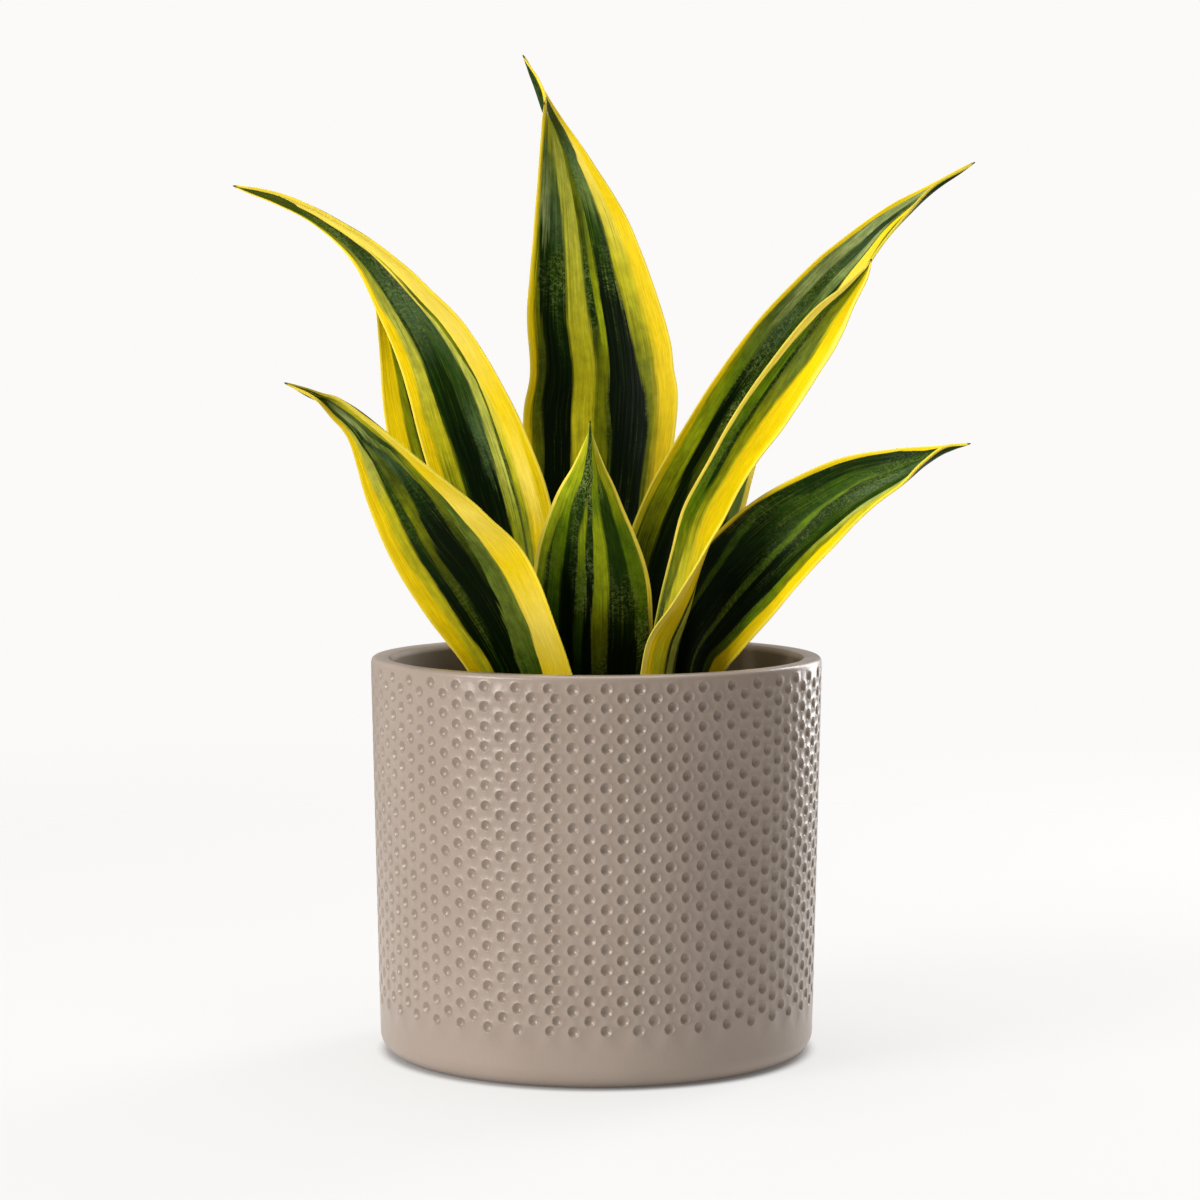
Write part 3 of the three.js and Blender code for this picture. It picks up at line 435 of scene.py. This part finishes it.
def leaf_material(name, bands, underside, length, seed):
    material, tree = new_material(name + "_blade")
    split = node(tree, "SeparateXYZ", {0: node(tree, "Attribute", attribute_name="leaf_map").outputs["Vector"]})
    across, along, side = split.outputs
    streak_seed = seed * 7.3

    def stretched(across_scale, run, shift, detail=2.0, roughness=0.5, strips=0):
        """Noise drawn out along the leaf: run is the length of its streaks in metres."""
        position = across
        if strips:
            position = calculate(tree, "FLOOR", times(tree, across, strips))
        vector = node(tree, "CombineXYZ", {0: times(tree, position, across_scale),
                                           1: times(tree, along, length / run), 2: streak_seed + shift})
        return noise(tree, vector.outputs[0], 1.0, detail, roughness)

    # Where the bands lie: a slow wander, and fine strips that end at different places
    place = plus(tree, calculate(tree, "MULTIPLY_ADD", stretched(1.5, 0.05, 1.0), 0.02, -0.01), across)
    for scale, run, shift, size, strips in ((9.7, 0.035, 5.0, 0.045, 64), (11.3, 0.016, 7.0, 0.032, 170)):
        step = calculate(tree, "MULTIPLY_ADD", stretched(scale, run, shift, strips=strips), size, -size / 2)
        place = plus(tree, place, step, clamp=True)
    shift_along = calculate(tree, "MULTIPLY_ADD", stretched(7.7, 0.04, 9.0, strips=90), 0.16, -0.08)
    turned = plus(tree, along, shift_along)
    face, face_streaks = banded(tree, place, along, turned, bands)
    under, under_streaks = banded(tree, place, along, turned, underside)
    base = blend(tree, side, under, face)
    streakiness = mixed(tree, side, under_streaks, face_streaks)

    for scale, run, shift, strips, shade, strength in (
            (13.1, 0.07, 14.0, 56, DARK, 0.7), (15.7, 0.045, 18.0, 130, DARK, 0.6),
            (12.3, 0.06, 21.0, 70, LEAF, 0.8), (14.9, 0.035, 26.0, 150, OLIVE, 0.6)):
        streak = spread(tree, stretched(scale, run, shift, strips=strips), 0.58, 0.7)
        streak = times(tree, times(tree, streak, streakiness), strength)
        base = blend(tree, streak, base, shade)
    fine = times(tree, spread(tree, stretched(130, 0.01, 30.0, 3.0), 0.3, 0.7, 0.84, 1.14),
                 spread(tree, stretched(22, 0.0028, 34.0, 3.0, 0.6), 0.3, 0.7, 0.96, 1.04))
    blotches = mixed(tree, times(tree, streakiness, 1.7, clamp=True), 1.0,
                     spread(tree, stretched(13, 0.006, 44.0, 4.0, 0.65), 0.36, 0.64, 0.66, 1.2))
    fine = times(tree, fine, blotches)
    base = shaded(tree, base, fine)

    # Pale dapples across the dark green: thin wavy lines and specks
    dapple_place = node(tree, "CombineXYZ", {0: times(tree, across, 8.0), 1: times(tree, along, length / 0.0036),
                                             2: streak_seed + 40}).outputs[0]
    waver = noise(tree, dapple_place, 1.0, 3.0, 0.65, 1.4)
    lines = spread(tree, calculate(tree, "ABSOLUTE", minus(tree, waver, 0.5)), 0.0, 0.035, 1.0, 0.0)
    specks = spread(tree, noise(tree, dapple_place, 3.4, 3.0, 0.7), 0.53, 0.66)
    dapples = calculate(tree, "MAXIMUM", lines, specks)
    red, green, _ = node(tree, "SeparateColor", {0: base}).outputs
    green_part = times(tree, spread(tree, red, 0.04, 0.16, 1.0, 0.0), spread(tree, green, 0.008, 0.03))
    patches = spread(tree, stretched(3, 0.03, 50.0), 0.42, 0.62)
    dapples = times(tree, times(tree, dapples, green_part), patches)
    base = blend(tree, times(tree, dapples, DAPPLES.get(name, PLAIN_DAPPLES)), base, PALE_LINE)

    # Margin line, tip, and painted shade towards the foot
    edge = calculate(tree, "ABSOLUTE", minus(tree, across, 0.5))
    # The margin's pale line, partly a painted highlight on the edge
    base = blend(tree, spread(tree, edge, 0.488, 0.498, 0.0, 0.55), base, EDGE_LINE_AND_HIGHLIGHT)
    base = blend(tree, spread(tree, along, 0.993, 0.998), base, TIP_BROWN)
    # Painted shade: the colour darkens towards the foot of the leaf
    base = shaded(tree, base, spread(tree, along, 0.05, 0.32, 0.45, 1.0))

    rough = spread(tree, stretched(12, 0.02, 60.0, 3.0), 0.3, 0.7, 0.32, 0.46)
    ridges = plus(tree, stretched(60, 0.06, 70.0, 1.0), times(tree, stretched(160, 0.01, 80.0), 0.35))
    finish_material(tree, base, rough, ridges, 0.35, 0.0004, 0.05)
    return material


def new_object(name, data):
    made = bpy.data.objects.new(name, data)
    scene.collection.objects.link(made)
    return made


def new_piece(name, points, faces, material, nodes=(), normals=None):
    mesh = bpy.data.meshes.new(name)
    mesh.from_pydata(np.asarray(points).tolist(), [], faces)
    mesh.polygons.foreach_set("use_smooth", [True] * len(mesh.polygons))
    if normals is not None:
        mesh.normals_split_custom_set_from_vertices(np.asarray(normals).tolist())
    mesh.materials.append(material)
    piece = new_object(name, mesh)
    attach(piece, "root")
    if nodes:
        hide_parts(*nodes)
    return piece


def tube_faces(count, size):
    """Faces of rings stacked into a tube, closed by fans to the two points that follow them."""
    last = (count - 1) * size
    faces = [(start + step, start + (step + 1) % size, start + size + (step + 1) % size, start + size + step)
             for start in range(0, last, size) for step in range(size)]
    for step in range(size):
        following = (step + 1) % size
        faces += [(last + size, following, step), (last + size + 1, last + step, last + following)]
    return faces


# Leaves

def smoothed(values, places):
    """Points on the smooth curve through the rows, with its ends mirrored."""
    ends = np.vstack([2 * values[0] - values[1], values, 2 * values[-1] - values[-2]])
    row = np.clip(np.floor(places).astype(int), 0, len(values) - 2)
    part = (places - row)[:, None]
    a, b, c, d = (ends[row + step] for step in range(4))
    return 0.5 * (2 * b + (c - a) * part + (2 * a - 5 * b + 4 * c - d) * part**2
                  + (3 * b - 3 * c + d - a) * part**3)


def unit(vectors):
    return vectors / np.linalg.norm(vectors, axis=-1, keepdims=True)


def build_leaf(name, shape, seed):
    rows = np.array(shape["rows"], float)
    places = np.linspace(0, len(rows) - 1, (len(rows) - 1) * STEPS_PER_ROW + 1)
    left, right, sunk = (smoothed(values, places) for values in (rows[:, :3], rows[:, 3:6], rows[:, 6:]))
    centre = (left + right) / 2
    across = right - left
    away = unit(np.cross(np.gradient(centre, axis=0), across))
    bottom = left + across * shape["crease"] + away * sunk
    lift = centre - bottom
    u = np.linspace(-1, 1, ACROSS_POINTS)
    soft = shape["softness"]
    rise = (np.hypot(u, soft) - soft) / (np.hypot(1, soft) - soft)
    surface = bottom[:, None] + across[:, None] * u[None, :, None] / 2 + lift[:, None] * rise[None, :, None]
    normal = unit(np.cross(np.gradient(surface, axis=0), np.gradient(surface, axis=1)))
    gone = np.r_[0, np.cumsum(np.linalg.norm(np.diff(centre, axis=0), axis=1))]
    length = gone[-1]
    along = gone / length

    # Slight waves of the blade, none at its foot and tip
    rng = np.random.default_rng(seed)
    waves = np.zeros(surface.shape[:2])
    for wave_length, slant, size in ((58, 1.6, 0.16), (31, -1.1, 0.09), (17, 2.3, 0.05)):
        waves += size * np.sin(2 * math.pi * (gone[:, None] / wave_length + rng.random()) + slant * u[None, :])
    waves *= np.clip(np.minimum(along - 0.08, 0.96 - along) * 12, 0, 1)[:, None]
    surface = surface + normal * waves[..., None]

    keel = shape["keel"] + (TIP_KEEL - shape["keel"]) * places / places[-1]
    half = (MARGIN_THICKNESS + (keel[:, None] - MARGIN_THICKNESS) * (1 - u[None, :] ** 2)) / 2
    # The last stretch draws out to a fine point
    point = TIP_SHARE + (1 - TIP_SHARE) * np.sqrt(np.clip((length - gone) / TIP_STRETCH, 0, 1))
    half = half * point[:, None]
    surface = centre[:, None] + (surface - centre[:, None]) * point[:, None, None]
    # The face towards the camera has its normal towards -Y
    toward = np.where(normal[..., 1:2] > 0, -1.0, 1.0)
    toward = np.where(np.median(toward) > 0, 1.0, -1.0)
    front = surface + normal * toward * half[..., None]
    back = surface - normal * toward * half[..., None]
    outward = unit(np.gradient(surface, axis=1))
    front_map = np.stack(np.broadcast_arrays((u[None, :] + 1) / 2, along[:, None], 1.0), -1)
    back_map = front_map[:, ::-1] * [1, 1, 0]
    facing, facing_back = (unit(np.cross(np.gradient(face, axis=0), np.gradient(face, axis=1))) * toward * sign
                           for face, sign in ((front, 1), (back, -1)))

    def margin(column, direction):
        """Points, normals and places of one rounded margin; its normals stay near those of the faces."""
        made = []
        for degrees in (50, 0, -50):
            turn = math.radians(degrees)
            edge = outward[:, column] * direction
            points = surface[:, column] + point[:, None] * (
                edge * 0.42 * math.cos(turn) + normal[:, column] * toward * math.sin(turn) * MARGIN_THICKNESS / 2)
            face = facing if degrees >= 0 else facing_back
            flat = np.full_like(along, 0.5 + direction * 0.5)
            made.append((points, unit(face[:, column] + 0.5 * edge),
                         np.stack([flat, along, np.full_like(along, 1.0 if degrees >= 0 else 0.0)], -1)))
        return [np.stack(part, 1) for part in zip(*made)]

    right_side, left_side = margin(-1, 1), margin(0, -1)
    ring, ring_normals, ring_map = (
        np.concatenate([face, right_side[part], other, left_side[part][:, ::-1]], axis=1)
        for part, (face, other) in enumerate(((front, back[:, ::-1]), (facing, facing_back[:, ::-1]),
                                              (front_map, back_map))))
    count, size = ring.shape[:2]
    direction = unit(centre[-1] - centre[-2])
    points = np.vstack([ring.reshape(-1, 3), surface[0].mean(0), centre[-1] + direction * 0.4])
    normals = np.vstack([ring_normals.reshape(-1, 3), unit(centre[0] - centre[1]), direction])
    leaf_map = np.vstack([ring_map.reshape(-1, 3), [0.5, 0, 1], [0.5, 1, 1]])
    material = leaf_material(name, BANDS[name], CURLED_UNDERSIDE if shape.get("curls") else UNDERSIDE,
                             length * MM, seed)
    faces = tube_faces(count, size)
    if toward > 0:
        faces = [face[::-1] for face in faces]
    piece = new_piece(name + "_fine", points * MM, faces, material, [name], normals)
    piece.data.attributes.new("leaf_map", "FLOAT_VECTOR", "POINT").data.foreach_set("vector", leaf_map.ravel())


for number, (leaf_name, leaf_shape) in enumerate(LEAVES.items()):
    build_leaf(leaf_name, leaf_shape, number + 3)


# Pot

def outer_radius(z):
    part = (np.clip(z, TAPER_START, TAPER_END) - TAPER_START) / (TAPER_END - TAPER_START)
    return POT_BASE_RADIUS + (POT_TOP_RADIUS - POT_BASE_RADIUS) * part


class Skin:
    """Points, their normals and the faces of one closed surface, in millimetres."""

    def __init__(self):
        self.points, self.normals, self.marks, self.faces, self.count = [], [], [], [], 0

    def add(self, points, normals, mark=0.0):
        start = self.count
        self.points.append(points)
        self.normals.append(unit(normals))
        self.marks.append(np.full(len(points), mark))
        self.count += len(points)
        return start

    def join_rings(self, first, second, size):
        for step in range(size):
            following = (step + 1) % size
            self.faces.append((first + step, first + following, second + following, second + step))

    def fan(self, ring, middle, size, turned=False):
        for step in range(size):
            pair = (ring + step, ring + (step + 1) % size)
            self.faces.append((*(pair[::-1] if turned else pair), middle))


def all_round(count):
    return np.arange(count) * 2 * math.pi / count


def outward_at(angles):
    return np.stack([np.sin(angles), -np.cos(angles), np.zeros_like(angles)], -1)


def on_pot(angles, heights, depth=0.0):
    points = outward_at(angles) * (outer_radius(heights) - depth)[..., None]
    points[..., 2] = heights
    return points


def dimple_centres(rng):
    """Angle, height, radius and depth of each dimple, column by column from the seam."""
    found = []
    half = COLUMNS // 2
    for column in range(COLUMNS):
        degrees = SEAM_DEGREES + STEP_RIGHT * min(column, half) + STEP_LEFT * max(column - half, 0)
        at_seam = column in (0, COLUMNS - 1)
        high = column % 2
        for row in range(HIGH_ROWS - 1 + high):
            steps = row + 0.5 - 0.5 * high
            pitch = PITCH_TOP + (PITCH_MEAN - PITCH_TOP) * steps / (HIGH_ROWS - 1)
            sideways, upward, wider, deeper = rng.uniform(-1, 1, 4) * (0.0 if at_seam else 1.0)
            size = SEAM_DIMPLE_RADIUS if at_seam else DIMPLE_RADIUS
            found.append((math.radians(degrees) + 0.16 * sideways / POT_TOP_RADIUS,
                          FIRST_ROW - steps * pitch + 0.22 * upward,
                          size * (1 + 0.04 * wider), DIMPLE_DEPTH * (1 + 0.12 * deeper)))
    return found


def dimple_ring(skin, centre, reach, sink, mean_radius):
    turn, z, size, depth = centre
    round_it = all_round(RING_POINTS)
    angles = turn + reach * size * np.cos(round_it) / mean_radius
    heights = z + reach * size * np.sin(round_it)
    sideways = np.stack([np.cos(angles), np.sin(angles), np.zeros_like(angles)], -1)
    from_middle = np.cos(round_it)[:, None] * sideways + np.sin(round_it)[:, None] * np.array([0, 0, 1.0])
    slope = -RIM_SLOPE if reach > 1 else 2 * depth / size * min(reach, 0.85)
    start = skin.add(on_pot(angles, heights, depth * sink), outward_at(angles) - slope * from_middle, max(sink, 0.0))
    return start, angles, heights


def add_lathe(skin, angles, radius, z, normal_out, normal_up, mark=0.0):
    points = outward_at(angles) * radius
    points[:, 2] = z
    normals = outward_at(angles) * normal_out
    normals[:, 2] = normal_up
    return skin.add(points, normals, mark)


def arc(middle_radius, middle_z, radius, start, end, steps):
    """Points of a lathed profile round a corner, with their normals, after its first."""
    return [(middle_radius + radius * math.cos(a), middle_z + radius * math.sin(a), math.cos(a), math.sin(a))
            for a in (math.radians(start + (end - start) * step / steps) for step in range(1, steps + 1))]


def build_pot():
    skin = Skin()
    centres = dimple_centres(np.random.default_rng(11))
    mean_radius = (POT_BASE_RADIUS + POT_TOP_RADIUS) / 2
    around = 2 * math.pi * mean_radius
    cut = math.radians(SEAM_DEGREES + STEP_RIGHT * (COLUMNS // 2 - 0.5))

    # The land between the dimples, laid out flat from a cut at the back
    flat, index_of = [], []
    for centre in centres:
        start, angles, heights = dimple_ring(skin, centre, *DIMPLE_RINGS[0], mean_radius)
        flat.extend(zip((angles - cut) % (2 * math.pi) * mean_radius, heights))
        index_of.extend(range(start, start + RING_POINTS))
    ring_points = len(flat)
    segments = COLUMNS * 3
    lathe_angles = cut + np.arange(segments) * 2 * math.pi / segments
    top = add_lathe(skin, lathe_angles, float(outer_radius(BAND_TOP)), BAND_TOP, 1, 0)
    bottom = add_lathe(skin, lathe_angles, float(outer_radius(BAND_BOTTOM)), BAND_BOTTOM, 1, 0)
    for start, z in ((top, BAND_TOP), (bottom, BAND_BOTTOM)):
        for step in range(segments + 1):
            flat.append((around * step / segments, z))
            index_of.append(start + step % segments)
    cut_heights = np.linspace(BAND_BOTTOM, BAND_TOP, 41)[1:-1]
    cut_angles = np.full(len(cut_heights), cut)
    cut_start = skin.add(on_pot(cut_angles, cut_heights), outward_at(cut_angles))
    for side in (0.0, around):
        flat.extend((side, z) for z in cut_heights)
        index_of.extend(range(cut_start, cut_start + len(cut_heights)))
    edges = [(ring * RING_POINTS + step, ring * RING_POINTS + (step + 1) % RING_POINTS)
             for ring in range(len(centres)) for step in range(RING_POINTS)]
    made = delaunay_2d_cdt([Vector(point) for point in flat], edges, [], 0, 1e-6)
    owner = [origin[0] for origin in made[3]]
    if len(owner) != len(flat):
        raise ValueError("two dimples of the pot touch")
    for triangle in made[2]:
        corners = [owner[corner] for corner in triangle]
        inside_one = max(corners) < ring_points and len({corner // RING_POINTS for corner in corners}) == 1
        if not inside_one:
            skin.faces.append(tuple(index_of[corner] for corner in corners))

    # The bowls of the dimples
    for number, centre in enumerate(centres):
        outer = number * RING_POINTS
        for reach, sink in DIMPLE_RINGS[1:]:
            inner = dimple_ring(skin, centre, reach, sink, mean_radius)[0]
            skin.join_rings(outer, inner, RING_POINTS)
            outer = inner
        middle = np.array([centre[0]])
        bottom_point = skin.add(on_pot(middle, np.array([centre[1]]), centre[3]), outward_at(middle), 1.0)
        skin.fan(outer, bottom_point, RING_POINTS)

    # Lip, inner wall and inner floor
    inner_top = POT_TOP_RADIUS - WALL
    inner_base = POT_BASE_RADIUS - WALL
    profile = arc(POT_TOP_RADIUS - LIP_OUTER_RADIUS, POT_HEIGHT - LIP_OUTER_RADIUS, LIP_OUTER_RADIUS, 0, 90, 6)
    profile += arc(inner_top + LIP_INNER_RADIUS, POT_HEIGHT - LIP_INNER_RADIUS, LIP_INNER_RADIUS, 90, 180, 7)
    for step in range(1, 9):
        part = step / 8
        low, high = FLOOR_THICKNESS + INNER_CORNER, POT_HEIGHT - LIP_INNER_RADIUS
        profile.append((inner_top + (inner_base - inner_top) * part, high + (low - high) * part, -1, 0))
    profile += [(r, z, -out, -up) for r, z, out, up in
                arc(inner_base - INNER_CORNER, FLOOR_THICKNESS + INNER_CORNER, INNER_CORNER, 0, -90, 5)]
    before = top
    for radius, z, normal_out, normal_up in profile:
        mark = INNER_MARK if normal_out < -0.5 else 0.0
        ring = add_lathe(skin, lathe_angles, radius, z, normal_out, normal_up, mark)
        skin.join_rings(before, ring, segments)
        before = ring
    middle = skin.add(np.array([[0, 0, FLOOR_THICKNESS]]), np.array([[0, 0, 1.0]]), INNER_MARK)
    skin.fan(before, middle, segments)

    # Lower corner and base
    before = bottom
    profile = [(POT_BASE_RADIUS, CORNER_RADIUS, 1, 0)]
    profile += arc(POT_BASE_RADIUS - CORNER_RADIUS, CORNER_RADIUS, CORNER_RADIUS, 0, -90, 9)
    for radius, z, normal_out, normal_up in profile:
        ring = add_lathe(skin, lathe_angles, radius, z, normal_out, normal_up)
        skin.join_rings(ring, before, segments)
        before = ring
    middle = skin.add(np.array([[0, 0, 0.0]]), np.array([[0, 0, -1.0]]))
    skin.fan(before, middle, segments, turned=True)

    piece = new_piece("pot_fine", np.vstack(skin.points) * MM, skin.faces, pot_material(),
                      ["pot"], np.vstack(skin.normals))
    marks = np.concatenate(skin.marks)
    piece.data.attributes.new("pressed", "FLOAT", "POINT").data.foreach_set("value", marks)


def pot_material():
    material, tree = new_material("taupe_glaze")
    place = node(tree, "TexCoord").outputs["Object"]
    pressed = node(tree, "Attribute", attribute_name="pressed").outputs["Fac"]
    cloud = noise(tree, place, 22.0, 3.0, 0.55)
    speckle = spread(tree, noise(tree, place, 1500.0, 2.0, 0.6), 0.66, 0.74)
    base = blend(tree, spread(tree, cloud, 0.3, 0.7), GLAZE_DARK, GLAZE_LIGHT)
    base = blend(tree, times(tree, pressed, 0.35, clamp=True), base, GLAZE_DEEP)
    # Painted shade: the inner faces take the darker glaze
    base = blend(tree, spread(tree, pressed, 1.2, INNER_MARK), base, SHADED_INSIDE_GLAZE)
    base = blend(tree, times(tree, speckle, 0.18), base, GLAZE_SPECK)
    rough = spread(tree, noise(tree, place, 60.0, 3.0, 0.6), 0.3, 0.7, 0.27, 0.37)
    rough = plus(tree, rough, spread(tree, pressed, 1.2, INNER_MARK, 0.0, 0.35))
    peel = plus(tree, noise(tree, place, 700.0, 2.0, 0.5),
                times(tree, noise(tree, place, 140.0, 2.0, 0.5), 1.6))
    finish_material(tree, base, rough, peel, 0.12, 0.0005, 0.5)
    return material


build_pot()


# Soil and what lies on it

def value_noise(rng, x, y, cell):
    """Smooth noise from -1 to 1 over a square as wide as the pot, at points x, y."""
    count = int(2 * POT_TOP_RADIUS / cell) + 4
    grid = rng.uniform(-1, 1, (count, count))
    gx, gy = (x + POT_TOP_RADIUS) / cell + 1, (y + POT_TOP_RADIUS) / cell + 1
    ix, iy = np.floor(gx).astype(int), np.floor(gy).astype(int)
    fx, fy = gx - ix, gy - iy
    fx, fy = fx * fx * (3 - 2 * fx), fy * fy * (3 - 2 * fy)
    low = grid[ix, iy] * (1 - fx) + grid[ix + 1, iy] * fx
    high = grid[ix, iy + 1] * (1 - fx) + grid[ix + 1, iy + 1] * fx
    return low * (1 - fy) + high * fy


def soil_height(rng, x, y, reach):
    rough = sum(size * value_noise(rng, x, y, cell) for cell, size in ((14, 0.7), (5, 0.8), (2.2, 0.7)))
    return SOIL_LEVEL + SOIL_CROWN * (1 - (np.hypot(x, y) / reach) ** 2) + rough


def build_soil():
    rng = np.random.default_rng(23)
    inner_top, inner_base = POT_TOP_RADIUS - WALL - 0.3, POT_BASE_RADIUS - WALL - 0.3
    low = FLOOR_THICKNESS + 0.3
    high = POT_HEIGHT - LIP_INNER_RADIUS
    reach = inner_base + (inner_top - inner_base) * (SOIL_LEVEL - low) / (high - low)
    segments, rings = 180, 62
    angles = all_round(segments)
    radii = reach * np.linspace(1, 1 / rings, rings)
    x, y = radii[:, None] * np.cos(angles), radii[:, None] * np.sin(angles)
    z = soil_height(rng, x, y, reach)
    top = np.stack([x, y, z], -1).reshape(-1, 3)
    floor_radius = inner_base - INNER_CORNER
    side = [np.stack([radius * np.cos(angles), radius * np.sin(angles), np.full(segments, height)], -1)
            for radius, height in ((floor_radius, low), (inner_base - 2.6, low + 2.6),
                                   (inner_base, low + INNER_CORNER))]
    points = np.vstack([*side, top, [[0, 0, low]], [[0, 0, SOIL_LEVEL + SOIL_CROWN]]])
    material = soil_material()
    new_piece("soil_fine", points * MM, tube_faces(rings + len(side), segments), material, ["soil"])
    scatter_crumbs(material, reach, "bark_crumbs", 620, (0.7, 2.6), 31)
    grit = mottled_material("white_grit", (colour(150, 138, 122), colour(214, 208, 196)), (900.0, 3.0), 0.85,
                            (2600.0, 2.0), 0.6)
    scatter_crumbs(grit, reach, "pale_grit", 60, (0.6, 1.5), 37)


def scatter_crumbs(material, reach, name, count, sizes, seed):
    """Many small lumps in one mesh, each half sunk in the soil."""
    rng = np.random.default_rng(seed)
    golden = (1 + math.sqrt(5)) / 2
    lump = unit(np.array([(-1, golden, 0), (1, golden, 0), (-1, -golden, 0), (1, -golden, 0),
                          (0, -1, golden), (0, 1, golden), (0, -1, -golden), (0, 1, -golden),
                          (golden, 0, -1), (golden, 0, 1), (-golden, 0, -1), (-golden, 0, 1)], float))
    lump_faces = [(0, 11, 5), (0, 5, 1), (0, 1, 7), (0, 7, 10), (0, 10, 11), (1, 5, 9), (5, 11, 4),
                  (11, 10, 2), (10, 7, 6), (7, 1, 8), (3, 9, 4), (3, 4, 2), (3, 2, 6), (3, 6, 8),
                  (3, 8, 9), (4, 9, 5), (2, 4, 11), (6, 2, 10), (8, 6, 7), (9, 8, 1)]
    points, faces = [], []
    for number in range(count):
        radius = (reach - 2) * math.sqrt(rng.random())
        turn = rng.uniform(0, 2 * math.pi)
        size = sizes[0] + (sizes[1] - sizes[0]) * rng.random() ** 2.2
        stretch = rng.uniform([0.7, 0.5, 0.35], [1.5, 1.0, 0.8]) * size
        body = lump * stretch * rng.uniform(0.8, 1.2, (len(lump), 1))
        heading, tip = rng.uniform(0, 2 * math.pi), rng.normal(0, 0.35)
        spin = np.array([[math.cos(heading), -math.sin(heading), 0], [math.sin(heading), math.cos(heading), 0],
                         [0, 0, 1]])
        lean = np.array([[math.cos(tip), 0, math.sin(tip)], [0, 1, 0], [-math.sin(tip), 0, math.cos(tip)]])
        middle = [radius * math.cos(turn), radius * math.sin(turn),
                  SOIL_LEVEL + SOIL_CROWN * (1 - (radius / reach) ** 2) + 0.5 + 0.2 * size]
        points.append(body @ lean.T @ spin.T + middle)
        faces.extend(tuple(number * len(lump) + corner for corner in face) for face in lump_faces)
    new_piece(name, np.vstack(points) * MM, faces, material)


def soil_material():
    material, tree = new_material("potting_mix")
    place = node(tree, "TexCoord").outputs["Object"]
    grains = node(tree, "TexVoronoi", {"Vector": place, "Scale": 620.0})
    tone = node(tree, "SeparateColor", {0: grains.outputs["Color"]}).outputs[0]
    damp = spread(tree, noise(tree, place, 45.0, 3.0, 0.6), 0.3, 0.7)
    base = blend(tree, tone, colour(38, 27, 20), colour(92, 66, 46))
    base = blend(tree, times(tree, damp, 0.6), base, colour(30, 22, 17))
    height = plus(tree, grains.outputs["Distance"], noise(tree, place, 1400.0, 3.0, 0.6))
    finish_material(tree, base, 0.9, height, 0.8, 0.0012, 0.25)
    return material


def mottled_material(name, tones, tone_noise, rough, grain_noise, bump):
    """Two tones in soft patches, with a grainy surface."""
    material, tree = new_material(name)
    place = node(tree, "TexCoord").outputs["Object"]
    tone = spread(tree, noise(tree, place, *tone_noise, 0.6), 0.3, 0.7)
    finish_material(tree, blend(tree, tone, *tones), rough, noise(tree, place, *grain_noise, 0.6), bump, 0.0006,
                    0.3)
    return material


build_soil()
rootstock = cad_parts["rhizome"]
rootstock.data.materials.clear()
rootstock.data.materials.append(mottled_material(
    "rootstock", (colour(150, 108, 62), colour(206, 170, 112)), (160.0, 4.0), 0.75, (700.0, 3.0), 0.5))


# Floor, light and camera

def build_floor():
    segments = 96
    points = [(FLOOR_RADIUS * math.cos(turn), FLOOR_RADIUS * math.sin(turn), 0)
              for turn in (2 * math.pi * step / segments for step in range(segments))]
    mesh = bpy.data.meshes.new("floor")
    mesh.from_pydata(points, [], [tuple(range(segments))])
    material, tree = new_material("pale_floor")
    place = node(tree, "TexCoord").outputs["Object"]
    away = node(tree, "VectorMath", {0: place}, operation="LENGTH").outputs["Value"]

    def pale(grey, glow):
        return node(tree, "BsdfPrincipled", {"Base Color": (grey, grey * 0.98, grey * 0.96, 1), "Roughness": 0.8,
                                             "Specular IOR Level": 0.1, "Emission Color": BACKDROP,
                                             "Emission Strength": glow}).outputs[0]

    # Round the pot's foot the floor glows less than beyond: a painted shadow
    shown = pale(0.4, 0.1)
    for (first, last), beyond in ((SHADOW_REACH, pale(0.2, 0.7)),
                                  (FADE_REACH, node(tree, "BsdfTransparent").outputs[0])):
        passed = spread(tree, away, first, last, how="SMOOTHSTEP")
        shown = node(tree, "MixShader", {0: passed, 1: shown, 2: beyond}).outputs[0]
    node(tree, "OutputMaterial", {0: shown})
    mesh.materials.append(material)
    floor = new_object("floor", mesh)


def add_area(name, place, target, size, power, tint=(1, 1, 1)):
    lamp = bpy.data.lights.new(name, "AREA")
    lamp.shape = "RECTANGLE"
    lamp.size, lamp.size_y = size
    lamp.energy = power
    lamp.color = tint
    made = new_object(name, lamp)
    made.location = place
    made.rotation_euler = (Vector(target) - Vector(place)).to_track_quat("-Z", "Y").to_euler()


def build_world():
    world = bpy.data.worlds.new("studio")
    scene.world = world
    world.use_nodes = True
    tree = world.node_tree
    tree.nodes.clear()
    seen = node(tree, "Background", {"Color": BACKDROP, "Strength": 1.0})
    sideways = node(tree, "SeparateXYZ", {0: node(tree, "TexCoord").outputs["Generated"]}).outputs[0]
    strength = spread(tree, sideways, -0.7, 0.7, AMBIENT_LEFT, AMBIENT_RIGHT)
    ambient = node(tree, "Background", {"Color": (1.0, 0.99, 0.97, 1), "Strength": strength})
    camera_ray = node(tree, "LightPath").outputs["Is Camera Ray"]
    shown = node(tree, "MixShader", {0: camera_ray, 1: ambient.outputs[0], 2: seen.outputs[0]})
    node(tree, "OutputWorld", {0: shown.outputs[0]})


build_floor()
build_world()
add_area("key", (-1.23, -0.86, 0.62), (0, 0, 0.15), (0.8, 0.8), KEY_POWER, (1.0, 0.99, 0.98))
add_area("edge", (0.86, 1.0, 0.5), (0, 0, 0.12), (0.5, 1.1), EDGE_POWER)
add_area("top", (0.0, 0.1, 1.5), (0, 0, 0.1), (1.2, 1.2), TOP_POWER)

scene.view_settings.view_transform = "Standard"
camera = new_object("camera", bpy.data.cameras.new("camera"))
camera.data.lens = LENS
camera.data.sensor_width = 36
camera.location = CAMERA_PLACE
camera.rotation_euler = (math.radians(90 - CAMERA_DOWN), 0, 0)
scene.camera = camera
